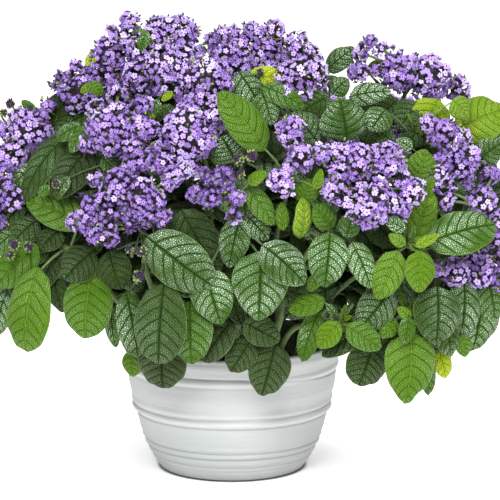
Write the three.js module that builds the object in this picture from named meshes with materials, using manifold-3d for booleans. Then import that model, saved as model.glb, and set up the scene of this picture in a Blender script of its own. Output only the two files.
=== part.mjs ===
// Potted heliotrope: a glazed bowl-shaped pot, its soil, leafy stems and heads of small violet flowers.
// Millimetres, +Z up. The origin is the middle of the pot's foot, on the surface it stands on.
import * as THREE from 'three';
import { ConvexHull } from 'three/addons/math/ConvexHull.js';
import { mergeVertices } from 'three/addons/utils/BufferGeometryUtils.js';
import Module from 'manifold-3d';

const wasm = await Module();
wasm.setup();

// Driving dimensions
const pot = {
  footRadius: 50.5, footEdge: 1.2, footRise: 1.4, rimRadius: 75, height: 91,
  wall: 5, floor: 6, innerFoot: 40.5, segments: 32,
};
const lip = { outer: 1, inner: 1.5, drop: 0.4 };
const soil = { rim: 68, shoulder: 71, crown: 74, slope: 22, gap: 0.7, segments: 20, holeSides: 4 };
const stem = {
  footRadius: 2.3, topRadius: 1.5, sides: 4, steps: 4, rootDepth: 11, footPull: 0.15, headPull: 0.3, leastRise: 62,
};
const feet = {
  inner: 8, spread: 0.32, target: 56, outermost: 58, spacing: 9.5, rounds: 60, push: 0.25, aboveSoil: 0.6,
};
const blade = {
  halfThickness: 0.65, petiole: 1.2, shortStalk: 6, kneeStalk: 14, longestStalk: 45, latestStart: 0.9,
  smallWidth: 19, arch: 0.1, droop: -0.16,
};
const sideLeaf = {
  shortest: 46, longest: 62, narrowest: 0.52, broadest: 0.6, stalk: 7, outward: 0.5, sag: 0.45, tilt: 0.7,
  highest: 0.94, span: 0.5, wobble: 0.6,
};
const head = { lift: 0.55, heartDepth: 0.3 };
const floret = {
  spacing: 18.5, perLobe: 15, apart: 0.7, apartAngle: 0.22, inside: 1.02, lowest: -0.3, facing: 0.1,
  petalRise: 0.06, pitDepth: 0.13,
};
const bud = {
  sides: 4, stalk: 1, longestStalk: 80, rings: 4, curl: 1.35 * Math.PI, opening: 0.5, reach: 0.55, closing: 0.2,
  thickness: 0.2, swelling: 0.12,
};
const clearance = 0.35;

// The mound that the foliage fills, deeper at the back than behind the leaves seen in front
const mound = { middle: new THREE.Vector3(12, 0, 165), across: 192, front: 122, back: 140, up: 132 };
const lowestLeaf = 48;

const looks = {
  pot: { color: 0xd9dede, roughness: 0.25, metalness: 0 },
  soil: { color: 0x3a2b20, roughness: 0.95, metalness: 0 },
  leaf: { color: 0x3f7d33, roughness: 0.6, metalness: 0 },
  flower: { color: 0x9a78d6, roughness: 0.7, metalness: 0 },
};

// Places are given as they are seen from the front, a little from above: across and up are millimetres
// from the middle of that view, and out is how far the point stands in front of the pot's axis.
const eye = new THREE.Vector3(12.6, -2357, 609);
const aim = new THREE.Vector3(12.6, 0, 154);
const sightLine = aim.clone().sub(eye).normalize();
const rightward = new THREE.Vector3(1, 0, 0);
const upward = new THREE.Vector3().crossVectors(rightward, sightLine);

function seen(across, up, out) {
  const onSheet = aim.clone().addScaledVector(rightward, across).addScaledVector(upward, up);
  const share = (-out - eye.y) / (onSheet.y - eye.y);
  return eye.clone().lerp(onSheet, share);
}

// One seeded draw, the same on every run
let seed = 20;
function draw(low, high) {
  seed = (seed * 1664525 + 1013904223) % 4294967296;
  return low + (high - low) * seed / 4294967296;
}

// Closed solids
const mergeDistance = 1e-4;

function solidOf(points, triangles) {
  const vertProperties = new Float32Array(points.flatMap((point) => [point.x, point.y, point.z]));
  const triVerts = new Uint32Array(triangles.flat());
  return new wasm.Manifold(new wasm.Mesh({ numProp: 3, vertProperties, triVerts }));
}

function solidOfGeometry(geometry) {
  geometry.deleteAttribute('normal');
  geometry.deleteAttribute('uv');
  const merged = mergeVertices(geometry, mergeDistance);
  const vertProperties = new Float32Array(merged.attributes.position.array);
  const triVerts = new Uint32Array(merged.index.array);
  return new wasm.Manifold(new wasm.Mesh({ numProp: 3, vertProperties, triVerts }));
}

function geometryOf(solid) {
  const mesh = solid.getMesh();
  const geometry = new THREE.BufferGeometry();
  geometry.setAttribute('position', new THREE.BufferAttribute(new Float32Array(mesh.vertProperties), 3));
  geometry.setIndex(new THREE.BufferAttribute(new Uint32Array(mesh.triVerts), 1));
  geometry.computeVertexNormals();
  return geometry;
}

// Joins rings with the same number of points into a skin, with a flat cap or a point at each end
function loft(rings) {
  const points = rings.flat();
  const triangles = [];
  const start = [];
  let count = 0;
  for (const ring of rings) {
    start.push(count);
    count += ring.length;
  }
  for (let row = 0; row + 1 < rings.length; row++) {
    const size = Math.max(rings[row].length, rings[row + 1].length);
    for (let i = 0; i < size; i++) {
      const j = (i + 1) % size;
      const a = start[row] + (rings[row].length > 1 ? i : 0);
      const b = start[row] + (rings[row].length > 1 ? j : 0);
      const c = start[row + 1] + (rings[row + 1].length > 1 ? j : 0);
      const d = start[row + 1] + (rings[row + 1].length > 1 ? i : 0);
      const even = i % 2 === 0;
      if (a !== b && c !== d) {
        triangles.push(...(even ? [[a, b, c], [a, c, d]] : [[a, b, d], [b, c, d]]));
      } else {
        triangles.push(a === b ? [a, c, d] : [a, b, c]);
      }
    }
  }
  for (let i = 1; i + 1 < rings[0].length; i++) {
    triangles.push([0, i + 1, i]);
  }
  const last = start[rings.length - 1];
  for (let i = 1; i + 1 < rings[rings.length - 1].length; i++) {
    triangles.push([last, last + i, last + i + 1]);
  }
  return solidOf(points, triangles);
}

// Pot: a thrown bowl with rounded rings, closed at the bottom
function potRadius(height) {
  const share = (height / pot.height) ** 0.8;
  return pot.footRadius + (pot.rimRadius - pot.footRadius) * Math.sin(share * Math.PI / 2);
}

const potRings = [
  { height: 8, out: 0.8 }, { height: 16, out: 0.8 }, { height: 30, out: 0.4 }, { height: 42, out: 0.2 },
  { height: 46, out: 1.9 }, { height: 53, out: 2 }, { height: 57, out: 0.2 }, { height: 70, out: 0.4 },
  { height: 78, out: 1.2 }, { height: 88, out: 0.9 },
];

// The wall's inside, from the soil line down to the floor, kept away from by a gap where the soil lies
function innerOutline(gap) {
  const heights = [soil.rim, 50, 30];
  const outline = heights.map((height) => new THREE.Vector2(potRadius(height) - pot.wall - gap, height));
  outline.push(new THREE.Vector2(pot.innerFoot - gap, pot.floor + gap));
  outline.push(new THREE.Vector2(0, pot.floor + gap));
  return outline;
}

function makePot() {
  const outline = [new THREE.Vector2(0, 0), new THREE.Vector2(pot.footRadius - pot.footEdge, 0)];
  outline.push(new THREE.Vector2(pot.footRadius, pot.footRise));
  for (const ring of potRings) {
    outline.push(new THREE.Vector2(potRadius(ring.height) + ring.out, ring.height));
  }
  const rimMiddle = pot.rimRadius - pot.wall / 2;
  outline.push(new THREE.Vector2(rimMiddle + lip.outer, pot.height));
  outline.push(new THREE.Vector2(rimMiddle - lip.inner, pot.height - lip.drop));
  outline.push(...innerOutline(0));
  return new THREE.LatheGeometry(outline, pot.segments).rotateX(Math.PI / 2);
}

function makeSoil(roots) {
  const inside = innerOutline(soil.gap).reverse();
  const edge = inside[inside.length - 1];
  const shoulder = new THREE.Vector2(edge.x - soil.slope, soil.shoulder);
  const outline = [...inside, shoulder, new THREE.Vector2(0, soil.crown)];
  const turned = new THREE.LatheGeometry(outline, soil.segments).rotateX(Math.PI / 2);
  let body = solidOfGeometry(turned);
  const holeRadius = (stem.footRadius + clearance) / Math.cos(Math.PI / soil.holeSides);
  for (const foot of roots) {
    const bottom = foot.z - stem.rootDepth - clearance;
    const ring = (height) => ringPoints(new THREE.Vector3(foot.x, foot.y, height), rightward,
      new THREE.Vector3(0, 1, 0), holeRadius, soil.holeSides);
    body = body.subtract(loft([ring(bottom), ring(pot.height)]));
  }
  return geometryOf(body);
}

function ringPoints(middle, sideways, upwards, radius, sides) {
  return Array.from({ length: sides }, (_, i) => {
    const angle = i * 2 * Math.PI / sides;
    return middle.clone()
      .addScaledVector(sideways, radius * Math.cos(angle))
      .addScaledVector(upwards, radius * Math.sin(angle));
  });
}

// Flower heads: each is a group of rounded lobes, given as across, up, out and radius
const frontHeads = [
  ['crown_left', [[-84, 158, 42, 10.5], [-69, 143, 48, 17], [-44, 153, 34, 17], [-57, 125, 58, 22]]],
  ['shoulder_left', [[-97, 132, 44, 18], [-120, 113, 34, 17], [-132, 120, 28, 9]]],
  ['mass_left', [[-32, 118, 72, 20], [-42, 81, 96, 25], [-25, 97, 88, 13]]],
  ['middle_left', [[-97, 84, 92, 19], [-81, 69, 98, 13], [-106, 97, 84, 11]]],
  ['side_left', [[-155, 85, 40, 21], [-141, 101, 36, 11], [-168, 63, 44, 14]]],
  ['edge_left', [[-171, 41, 48, 19], [-175, 21, 52, 12]]],
  ['low_left', [[-102, 25, 108, 20], [-76, 32, 116, 22], [-90, 43, 108, 16], [-63, 18, 120, 11]]],
  ['low_middle', [[-28, 37, 128, 13], [-9, 35, 130, 14], [-18, 53, 122, 11]]],
  ['crown_middle', [[-13, 134, 40, 17], [11, 139, 40, 18], [34, 125, 52, 21], [41, 109, 60, 11]]],
  ['front_middle', [[28, 84, 108, 12], [35, 65, 114, 17], [21, 50, 120, 10]]],
  ['front_right', [[70, 60, 108, 20], [95, 61, 98, 19], [110, 41, 100, 16], [82, 30, 116, 19],
    [60, 42, 116, 12]]],
  ['crown_right', [[77, 125, 34, 10], [104, 123, 34, 15], [125, 119, 26, 16], [144, 112, 16, 10],
    [116, 137, 22, 8]]],
  ['side_right', [[137, 80, 68, 14], [148, 63, 66, 17], [129, 55, 76, 9], [164, 61, 56, 8]]],
  ['edge_right', [[140, 39, 80, 10], [162, 35, 66, 15], [172, 21, 62, 11], [168, 49, 56, 10]]],
  ['low_right', [[144, -15, 84, 11], [161, -13, 76, 13], [175, -6, 66, 12]]],
];

// Heads at the back: middle and radius, with lobes set round the axis by rule
const backHeads = [
  ['back_a', [-124, 44, 222], 31],
  ['back_b', [-60, 68, 258], 34],
  ['back_c', [14, 42, 268], 34],
  ['back_d', [70, 80, 230], 34],
  ['back_e', [118, 36, 236], 30],
  ['back_f', [-104, 96, 176], 33],
  ['back_g', [-6, 112, 204], 35],
  ['back_h', [140, 76, 168], 33],
];

// Leafy shoots that end in young leaves or buds instead of a head
const leafyShoots = [
  ['tuft_right', seen(113, 5, 104)],
  ['tuft_front', seen(65, -50, 110)],
  ['spray_right', seen(112, -44, 100)],
  ['spray_front', seen(2, -54, 92)],
  ['spray_left', seen(-41, -24, 104)],
  ['spray_crown', seen(0, 100, 66)],
  ['spray_top', seen(60, 92, 58)],
  ['spray_shoulder', seen(118, 84, 58)],
  ['spray_back_a', new THREE.Vector3(-112, 44, 128)],
  ['spray_back_b', new THREE.Vector3(-52, 108, 124)],
  ['spray_back_c', new THREE.Vector3(52, 110, 128)],
  ['spray_back_d', new THREE.Vector3(116, 52, 122)],
];

// Leaves that each front shoot grows besides the ones placed below; the shoots at the back grow more
const leafCounts = {
  crown_left: 3, shoulder_left: 3, mass_left: 2, middle_left: 1, side_left: 3, edge_left: 1, low_left: 0,
  low_middle: 0, crown_middle: 4, front_middle: 1, front_right: 1, crown_right: 4, side_right: 2,
  edge_right: 2, low_right: 1, tuft_right: 0, tuft_front: 0, spray_right: 0, spray_front: 0, spray_left: 0,
  spray_crown: 2, spray_top: 2, spray_shoulder: 2,
};

// Where some head stems pass on their way up, so that the low leaves hang from them
const waypoints = {
  low_left: seen(-74, -8, 98),
  low_middle: seen(-6, 8, 98),
  edge_left: seen(-126, 0, 74),
  front_right: seen(50, 10, 98),
  low_right: seen(112, 10, 60),
};

// Leaves seen from the front. Each row gives the blade's base (across, up, out), its tip (across, up, out),
// its width, and the turn of its face about its own length in degrees.
const frontLeaves = [
  [-60, -22, 124, -64, -80, 126, 33, 0],
  [8, 0, 124, 6, -50, 128, 35, 0],
  [-73, 10, 120, -24, -27, 130, 33, 10],
  [-32, -13, 122, -20, -53, 128, 27, 0],
  [113, -57, 108, 109, -109, 110, 34, 0],
  [56, 13, 124, 52, -27, 130, 25, 0],
  [8, 4, 126, 39, -24, 132, 26, -10],
  [-42, -35, 116, -41, -81, 118, 29, 0],
  [-111, -16, 96, -115, -62, 104, 33, 0],
  [-148, -11, 84, -158, -72, 88, 30, 0],
  [131, -25, 104, 130, -67, 110, 29, 0],
  [160, -24, 92, 156, -72, 96, 26, 0],
  [123, 4, 104, 172, 18, 92, 30, -20],
  [112, 4, 108, 126, 44, 108, 22, 0],
  [104, 0, 118, 89, -35, 124, 20, 0],
  [119, 0, 112, 118, -30, 118, 20, 0],
  [99, -27, 112, 76, -56, 116, 24, 0],
  [18, -65, 100, 8, -103, 102, 27, 0],
  [-49, 29, 112, -22, -18, 118, 26, 0],
  [-7, 24, 114, -15, -13, 118, 19, 0],
  [-2, 44, 122, 17, 17, 126, 14, 0],
  [71, 6, 120, 85, -27, 124, 17, 0],
  [-109, 0, 88, -130, -21, 92, 26, 0],
  [-99, 0, 98, -90, -28, 104, 22, 0],
  [-87, -28, 112, -78, -76, 112, 20, -20],
  [-61, -57, 106, -61, -97, 100, 31, 0],
  [-13, -50, 108, -33, -79, 106, 20, 15],
  [1, -62, 103, -14, -86, 103, 20, 0],
  [-5, -50, 110, 21, -64, 106, 19, 0],
  [-60, -13, 118, -41, -33, 122, 15, 0],
  [86, -65, 104, 76, -95, 106, 26, 0],
  [62, -50, 120, 48, -69, 122, 15, 0],
  [67, -53, 120, 92, -69, 120, 17, 0],
  [53, -34, 114, 27, -43, 118, 14, 0],
  [48, -43, 108, 36, -79, 106, 15, 20],
  [78, -60, 102, 50, -74, 100, 18, 50],
  [-114, 18, 78, -158, 36, 66, 22, 0],
  [-132, 15, 72, -147, 0, 76, 17, 0],
  [-134, 1, 76, -146, -28, 78, 17, 0],
  [-161, -8, 60, -174, -24, 60, 15, 0],
  [-168, -23, 55, -177, -60, 55, 18, 0],
  [-122, 85, 58, -160, 35, 66, 26, 15],
  [-111, 73, 74, -137, 36, 82, 26, 0],
  [-104, 65, 96, -93, 55, 100, 10, 0],
  [-126, 52, 88, -136, 35, 90, 12, 30],
  [-82, -70, 88, -82, -89, 86, 14, 0],
  [-97, -42, 92, -94, -69, 92, 10, 0],
  [-3, 25, 116, 13, 7, 120, 16, 0],
  [35, 8, 116, 37, 37, 118, 16, 40],
  [35, 33, 108, 43, 50, 108, 16, 0],
  [58, 15, 112, 45, 32, 114, 16, 0],
  [67, 8, 116, 72, 27, 114, 14, 0],
  [109, 14, 112, 94, 22, 114, 10, 0],
  [90, -70, 94, 91, -90, 94, 11, 0],
  [122, -70, 94, 125, -102, 94, 12, 0],
  [132, -69, 82, 138, -90, 82, 12, 0],
  [148, -59, 86, 151, -75, 86, 12, 0],
  [111, -46, 116, 108, -66, 118, 11, 0],
  [102, -47, 112, 92, -62, 114, 12, 0],
  [169, -28, 70, 181, -43, 68, 16, 0],
  [11, 69, 94, -22, 111, 90, 24, 0],
  [8, 115, 72, 39, 99, 80, 15, 0],
  [8, 111, 78, 16, 87, 86, 16, 0],
  [-10, 62, 104, -20, 80, 104, 26, 0],
  [48, 75, 88, 28, 96, 84, 22, 0],
  [68, 76, 88, 62, 108, 84, 32, 0],
  [53, 125, 30, 74, 142, 30, 16, 0],
  [57, 109, 50, 69, 120, 50, 14, 0],
  [95, 99, 82, 84, 83, 88, 18, 0],
  [100, 75, 88, 88, 84, 90, 15, 0],
  [114, 71, 86, 102, 77, 88, 10, 0],
  [132, 106, 66, 116, 74, 72, 25, 0],
  [144, 84, 36, 179, 99, 26, 32, 0],
  [116, 45, 97, 123, 71, 96, 17, 0],
  [161, 57, 62, 171, 74, 60, 16, 0],
  [141, 52, 78, 155, 59, 74, 12, 0],
];

// Curled bud clusters: where the stalk opens out (across, up, out), the side it curls to, and its size
const budCurls = [
  [-76, 2, 122, -1, 7],
  [-82, -12, 118, 1, 6],
  [-158, 4, 80, -1, 7],
  [-146, 2, 84, 1, 6],
  [-134, 46, 92, -1, 6],
  [-6, 64, 122, -1, 7],
  [4, 66, 120, 1, 7],
  [5, 124, 66, 1, 6],
  [-166, 100, 30, -1, 7],
];

// Flower heads
const mouldCore = new THREE.Vector3(12, 0, 120);

function goldenDirections(count) {
  const turn = Math.PI * (3 - Math.sqrt(5));
  return Array.from({ length: count }, (_, i) => {
    const z = 1 - 2 * (i + 0.5) / count;
    const level = Math.sqrt(1 - z * z);
    return new THREE.Vector3(level * Math.cos(i * turn), level * Math.sin(i * turn), z);
  });
}

function tangents(axis) {
  const first = new THREE.Vector3(0, 0, 1).cross(axis);
  if (first.length() < 0.05) {
    first.copy(rightward);
  }
  first.normalize();
  return [first, new THREE.Vector3().crossVectors(axis, first)];
}

function headPlan(name, lobes) {
  const middle = new THREE.Vector3();
  let weight = 0;
  for (const lobe of lobes) {
    middle.addScaledVector(lobe.middle, lobe.radius ** 2);
    weight += lobe.radius ** 2;
  }
  middle.divideScalar(weight);
  const size = Math.sqrt(weight / lobes.length);
  const axis = middle.clone().sub(mouldCore).normalize().add(new THREE.Vector3(0, 0, head.lift)).normalize();
  const heart = middle.addScaledVector(axis, -head.heartDepth * size);
  return { name, lobes, axis, heart, size };
}

const backLobe = {
  count: 4, middleRise: 0.12, middleRadius: 0.66, wobble: 0.2,
  nearest: 0.42, furthest: 0.56, smallest: 0.44, largest: 0.54,
};

function backLobes(place, radius) {
  const middle = new THREE.Vector3(...place);
  const axis = middle.clone().sub(mouldCore).normalize();
  const [first, second] = tangents(axis);
  const lobes = [{
    middle: middle.clone().addScaledVector(axis, backLobe.middleRise * radius),
    radius: backLobe.middleRadius * radius,
  }];
  for (let i = 0; i < backLobe.count; i++) {
    const angle = (i + draw(-backLobe.wobble, backLobe.wobble)) * 2 * Math.PI / backLobe.count;
    const spread = radius * draw(backLobe.nearest, backLobe.furthest);
    lobes.push({
      middle: middle.clone()
        .addScaledVector(first, spread * Math.cos(angle))
        .addScaledVector(second, spread * Math.sin(angle)),
      radius: radius * draw(backLobe.smallest, backLobe.largest),
    });
  }
  return lobes;
}

const heads = frontHeads.map(([name, lobes]) => headPlan(name, lobes.map(
  ([across, up, out, radius]) => ({ middle: seen(across, up, out), radius }))));
for (const [name, place, radius] of backHeads) {
  heads.push(headPlan(name, backLobes(place, radius)));
}

function support(plan, direction) {
  return Math.max(...plan.lobes.map(
    (lobe) => lobe.middle.clone().sub(plan.heart).dot(direction) + lobe.radius));
}

// The flat cuts where two neighbouring heads press against each other
function pressedSides(plan) {
  const sides = [];
  for (const other of heads) {
    const direction = other.heart.clone().sub(plan.heart);
    const distance = direction.length();
    direction.normalize();
    if (other !== plan) {
      const own = support(plan, direction);
      const theirs = support(other, direction.clone().negate());
      if (own + theirs > distance - 2 * clearance) {
        sides.push({ direction, distance: distance * own / (own + theirs) - clearance / 2 });
      }
    }
  }
  return sides;
}

function florets(plan) {
  const kept = [];
  for (const lobe of plan.lobes) {
    const count = Math.ceil(floret.perLobe * (lobe.radius / floret.spacing) ** 2);
    for (const direction of goldenDirections(count)) {
      const place = lobe.middle.clone().addScaledVector(direction, lobe.radius);
      const hidden = plan.lobes.some(
        (other) => other !== lobe && place.distanceTo(other.middle) < other.radius * floret.inside);
      const outward = place.clone().sub(plan.heart).normalize();
      const crowded = kept.some((other) => other.distanceTo(place) < floret.spacing * floret.apart
        || other.clone().sub(plan.heart).normalize().distanceTo(outward) < floret.apartAngle);
      const outside = outward.dot(plan.axis) > floret.lowest && direction.dot(outward) > floret.facing;
      if (outside && !hidden && !crowded) {
        kept.push(place);
      }
    }
  }
  return kept;
}

const underside = { lean: -0.7, reach: 0.72, count: 6, depth: 0.85 };

function headBase(plan) {
  return plan.heart.clone().addScaledVector(plan.axis, -underside.depth * plan.size);
}

function makeHead(plan) {
  const sides = pressedSides(plan);
  const [first, second] = tangents(plan.axis);
  const knots = florets(plan).map((place) => {
    const arm = place.sub(plan.heart);
    return { direction: arm.clone().normalize(), reach: arm.length(), bloom: true };
  });
  for (let i = 0; i < underside.count; i++) {
    const angle = i * 2 * Math.PI / underside.count;
    const direction = plan.axis.clone().multiplyScalar(underside.lean)
      .addScaledVector(first, Math.cos(angle)).addScaledVector(second, Math.sin(angle)).normalize();
    knots.push({ direction, reach: underside.reach * plan.size, bloom: false });
  }
  knots.push({ direction: plan.axis.clone().negate(), reach: underside.depth * plan.size, bloom: false });

  const points = [];
  function place(direction, reach) {
    const arm = direction.clone().multiplyScalar(reach);
    for (const side of sides) {
      const distance = arm.dot(side.direction);
      if (distance > side.distance) {
        arm.multiplyScalar(side.distance / distance);
      }
    }
    points.push(arm.add(plan.heart));
    return points.length - 1;
  }
  const index = new Map();
  for (const knot of knots) {
    index.set(knot.direction, place(knot.direction, knot.reach));
  }
  const hull = new ConvexHull().setFromPoints(knots.map((knot) => knot.direction));
  const middles = new Map();
  function petalMiddle(a, b) {
    const key = `${Math.min(a, b)} ${Math.max(a, b)}`;
    if (!middles.has(key)) {
      const direction = knots[a].direction.clone().add(knots[b].direction).normalize();
      const reach = (knots[a].reach + knots[b].reach) / 2 * (1 + floret.petalRise);
      middles.set(key, place(direction, reach));
    }
    return middles.get(key);
  }
  const triangles = [];
  for (const face of hull.faces) {
    const corners = [];
    let edge = face.edge;
    do {
      corners.push(index.get(edge.head().point));
      edge = edge.next;
    } while (edge !== face.edge);
    const blooming = corners.filter((corner) => knots[corner].bloom).length;
    if (blooming === 3) {
      const [a, b, c] = corners;
      const direction = new THREE.Vector3();
      corners.forEach((corner) => direction.add(knots[corner].direction));
      const mean = corners.reduce((sum, corner) => sum + knots[corner].reach, 0) / 3;
      const pit = place(direction.normalize(), mean * (1 - floret.pitDepth));
      const [ab, bc, ca] = [petalMiddle(a, b), petalMiddle(b, c), petalMiddle(c, a)];
      triangles.push([a, ab, pit], [ab, b, pit], [b, bc, pit], [bc, c, pit], [c, ca, pit], [ca, a, pit]);
    } else if (blooming === 2) {
      const start = corners.findIndex((corner, i) => knots[corner].bloom && knots[corners[(i + 1) % 3]].bloom);
      const [a, b, c] = [0, 1, 2].map((step) => corners[(start + step) % 3]);
      const ab = petalMiddle(a, b);
      triangles.push([a, ab, c], [ab, b, c]);
    } else {
      triangles.push(corners);
    }
  }
  return solidOf(points, triangles);
}

// Stems
function soilTop(radius) {
  const edge = potRadius(soil.rim) - pot.wall - soil.gap;
  const shoulder = edge - soil.slope;
  if (radius < shoulder) {
    return soil.crown + (soil.shoulder - soil.crown) * radius / shoulder;
  }
  return soil.shoulder + (soil.rim - soil.shoulder) * (radius - shoulder) / soil.slope;
}

const shoots = [
  ...heads.map((plan) => ({
    name: plan.name,
    end: headBase(plan).addScaledVector(plan.axis, -clearance),
    lean: plan.axis,
    leaves: leafCounts[plan.name] ?? 5,
    through: waypoints[plan.name],
  })),
  ...leafyShoots.map(([name, end]) => ({
    name,
    end,
    leaves: leafCounts[name] ?? 6,
    lean: new THREE.Vector3(end.x, end.y, 0).normalize().add(new THREE.Vector3(0, 0, 0.6)).normalize(),
  })),
];

function settleFeet() {
  for (const shoot of shoots) {
    const aimed = shoot.through ?? shoot.end;
    const reach = Math.hypot(aimed.x, aimed.y);
    const radius = Math.min(feet.inner + feet.spread * reach, feet.target);
    shoot.foot = new THREE.Vector3(aimed.x * radius / reach, aimed.y * radius / reach, 0);
  }
  for (let round = 0; round < feet.rounds; round++) {
    for (const one of shoots) {
      for (const other of shoots) {
        const apart = one.foot.clone().sub(other.foot);
        const distance = apart.length();
        if (one !== other && distance < feet.spacing) {
          one.foot.addScaledVector(apart, feet.push * (feet.spacing - distance) / distance);
        }
      }
      const radius = Math.hypot(one.foot.x, one.foot.y);
      if (radius > feet.outermost) {
        one.foot.multiplyScalar(feet.outermost / radius);
      }
    }
  }
  for (const shoot of shoots) {
    shoot.foot.z = soilTop(Math.hypot(shoot.foot.x, shoot.foot.y)) + feet.aboveSoil;
  }
}

// A stem rises out of the soil, arches out over the rim and turns up into its head
function pathOf(shoot) {
  const rise = shoot.end.z - shoot.foot.z;
  const second = shoot.end.clone().addScaledVector(shoot.lean, -stem.headPull * shoot.end.distanceTo(shoot.foot));
  const first = shoot.foot.clone().lerp(shoot.end, stem.footPull);
  first.z = shoot.foot.z + Math.max(stem.headPull * rise, stem.leastRise);
  if (shoot.through) {
    first.copy(shoot.through).multiplyScalar(8).sub(shoot.foot).sub(shoot.end)
      .addScaledVector(second, -3).divideScalar(3);
  }
  return new THREE.CubicBezierCurve3(shoot.foot, first, second, shoot.end);
}

settleFeet();
for (const shoot of shoots) {
  shoot.path = pathOf(shoot);
  shoot.used = new Set();
}

function stemSolid(shoot, extra) {
  const level = new THREE.Vector3(0, 0, 1).cross(shoot.end.clone().sub(shoot.foot)).normalize();
  const ringAt = (place, tangent, radius) => ringPoints(
    place, level, new THREE.Vector3().crossVectors(tangent, level).normalize(), radius + extra, stem.sides);
  const root = shoot.foot.clone();
  root.z -= stem.rootDepth;
  const rings = [ringAt(root, new THREE.Vector3(0, 0, 1), stem.footRadius)];
  for (let i = 0; i <= stem.steps; i++) {
    const share = i / stem.steps;
    const tangent = i === 0 ? new THREE.Vector3(0, 0, 1) : shoot.path.getTangent(share);
    const radius = stem.footRadius + (stem.topRadius - stem.footRadius) * share;
    rings.push(ringAt(shoot.path.getPoint(share), tangent, radius));
  }
  return loft(rings);
}

// Leaves
const outlineRows = [[0.15, 0.72], [0.45, 1], [0.78, 0.7]];
const smallOutlineRows = [[0.25, 0.92], [0.7, 0.84]];

function leafFrame(leaf) {
  const length = leaf.base.distanceTo(leaf.tip);
  const along = leaf.tip.clone().sub(leaf.base).normalize();
  const side = new THREE.Vector3().crossVectors(along, leaf.facing).normalize();
  side.applyAxisAngle(along, leaf.turn * Math.PI / 180);
  const normal = new THREE.Vector3().crossVectors(side, along);
  const bend = leaf.base.clone().lerp(leaf.tip, 0.5).addScaledVector(normal, blade.arch * 2 * length);
  const spine = new THREE.QuadraticBezierCurve3(leaf.base, bend, leaf.tip);
  return { length, side, spine };
}

function leafRing(place, side, tangent, halfWidth, halfThickness, droop) {
  const normal = new THREE.Vector3().crossVectors(side, tangent).normalize();
  return [
    place.clone().addScaledVector(side, halfWidth).addScaledVector(normal, droop * halfWidth),
    place.clone().addScaledVector(normal, -halfThickness),
    place.clone().addScaledVector(side, -halfWidth).addScaledVector(normal, droop * halfWidth),
    place.clone().addScaledVector(normal, halfThickness),
  ];
}

// The leaf's rings from a start on its stalk (0 at the stem, 1 at the blade) to its tip; extra swells it
function leafSolid(leaf, extra, start) {
  const { side, spine } = leafFrame(leaf);
  const stalk = leaf.base.clone().sub(leaf.root);
  const petiole = blade.petiole + extra;
  const rings = [leafRing(leaf.root.clone().addScaledVector(stalk, start), side,
    stalk.clone().normalize(), petiole, petiole, 0)];
  if (stalk.length() > blade.kneeStalk) {
    rings.push(leafRing(leaf.base, side, spine.getTangent(0), petiole, petiole, 0));
  }
  for (const [share, breadth] of leaf.width < blade.smallWidth ? smallOutlineRows : outlineRows) {
    const halfWidth = leaf.width / 2 * breadth + extra;
    rings.push(leafRing(spine.getPoint(share), side, spine.getTangent(share), halfWidth,
      blade.halfThickness + extra, blade.droop));
  }
  rings.push([leaf.tip.clone().addScaledVector(spine.getTangent(1), extra)]);
  return loft(rings);
}

// Everything already in its place: the whole of it, and the part that is free of its own stem
const placed = [];

function boxOf(solid) {
  const { min, max } = solid.boundingBox();
  return new THREE.Box3(new THREE.Vector3(...min), new THREE.Vector3(...max));
}

function keep(node, whole, free) {
  placed.push({ node, box: boxOf(whole), whole, free });
}

function crosses(node, whole, free) {
  const box = boxOf(whole);
  for (const other of placed) {
    if (other.box.intersectsBox(box)) {
      const shared = other.node === node ? free.intersect(other.free) : whole.intersect(other.whole);
      const empty = shared.isEmpty();
      shared.delete();
      if (!empty) {
        return true;
      }
    }
  }
  return false;
}

// The nearest free places on the stems that a leaf can grow from, nearest first
const pathSteps = 48;
const lowestStep = 5;
const nearestShoots = 2;

function stemPlace(shoot, share) {
  const piece = Math.min(Math.floor(share * stem.steps), stem.steps - 1);
  const start = shoot.path.getPoint(piece / stem.steps);
  return start.lerp(shoot.path.getPoint((piece + 1) / stem.steps), share * stem.steps - piece);
}

function rootsFor(base, reach) {
  const choices = [];
  for (const shoot of shoots) {
    let best = null;
    for (let i = lowestStep; i < pathSteps - 1; i++) {
      const place = stemPlace(shoot, i / pathSteps);
      const distance = place.distanceTo(base);
      if (!shoot.used.has(i) && (best === null || distance < best.distance)) {
        best = { shoot, place, distance, step: i };
      }
    }
    if (best !== null && best.distance < reach) {
      choices.push(best);
    }
  }
  choices.sort((one, other) => one.distance - other.distance);
  return choices.slice(0, nearestShoots);
}

const grown = new Map(shoots.map((shoot) => [shoot.name, stemSolid(shoot, 0)]));

// The least height of any triangle, which is next to nothing where a join left a sliver
function thinnestTriangle({ vertProperties, triVerts }) {
  let least = Infinity;
  for (let i = 0; i < triVerts.length; i += 3) {
    const [a, b, c] = [0, 1, 2].map((step) => new THREE.Vector3().fromArray(vertProperties, 3 * triVerts[i + step]));
    const longest = Math.max(a.distanceTo(b), b.distanceTo(c), c.distanceTo(a));
    least = Math.min(least, 2 * new THREE.Triangle(a, b, c).getArea() / longest);
  }
  return least;
}

// Joins a piece to its stem, unless the join would leave a sliver or a loose scrap
const sliver = 0.0008;

function joinTo(name, solid) {
  const joined = grown.get(name).add(solid);
  const clean = thinnestTriangle(joined.getMesh()) > sliver && joined.decompose().length === 1;
  if (clean) {
    grown.set(name, joined);
  }
  return clean;
}

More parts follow.
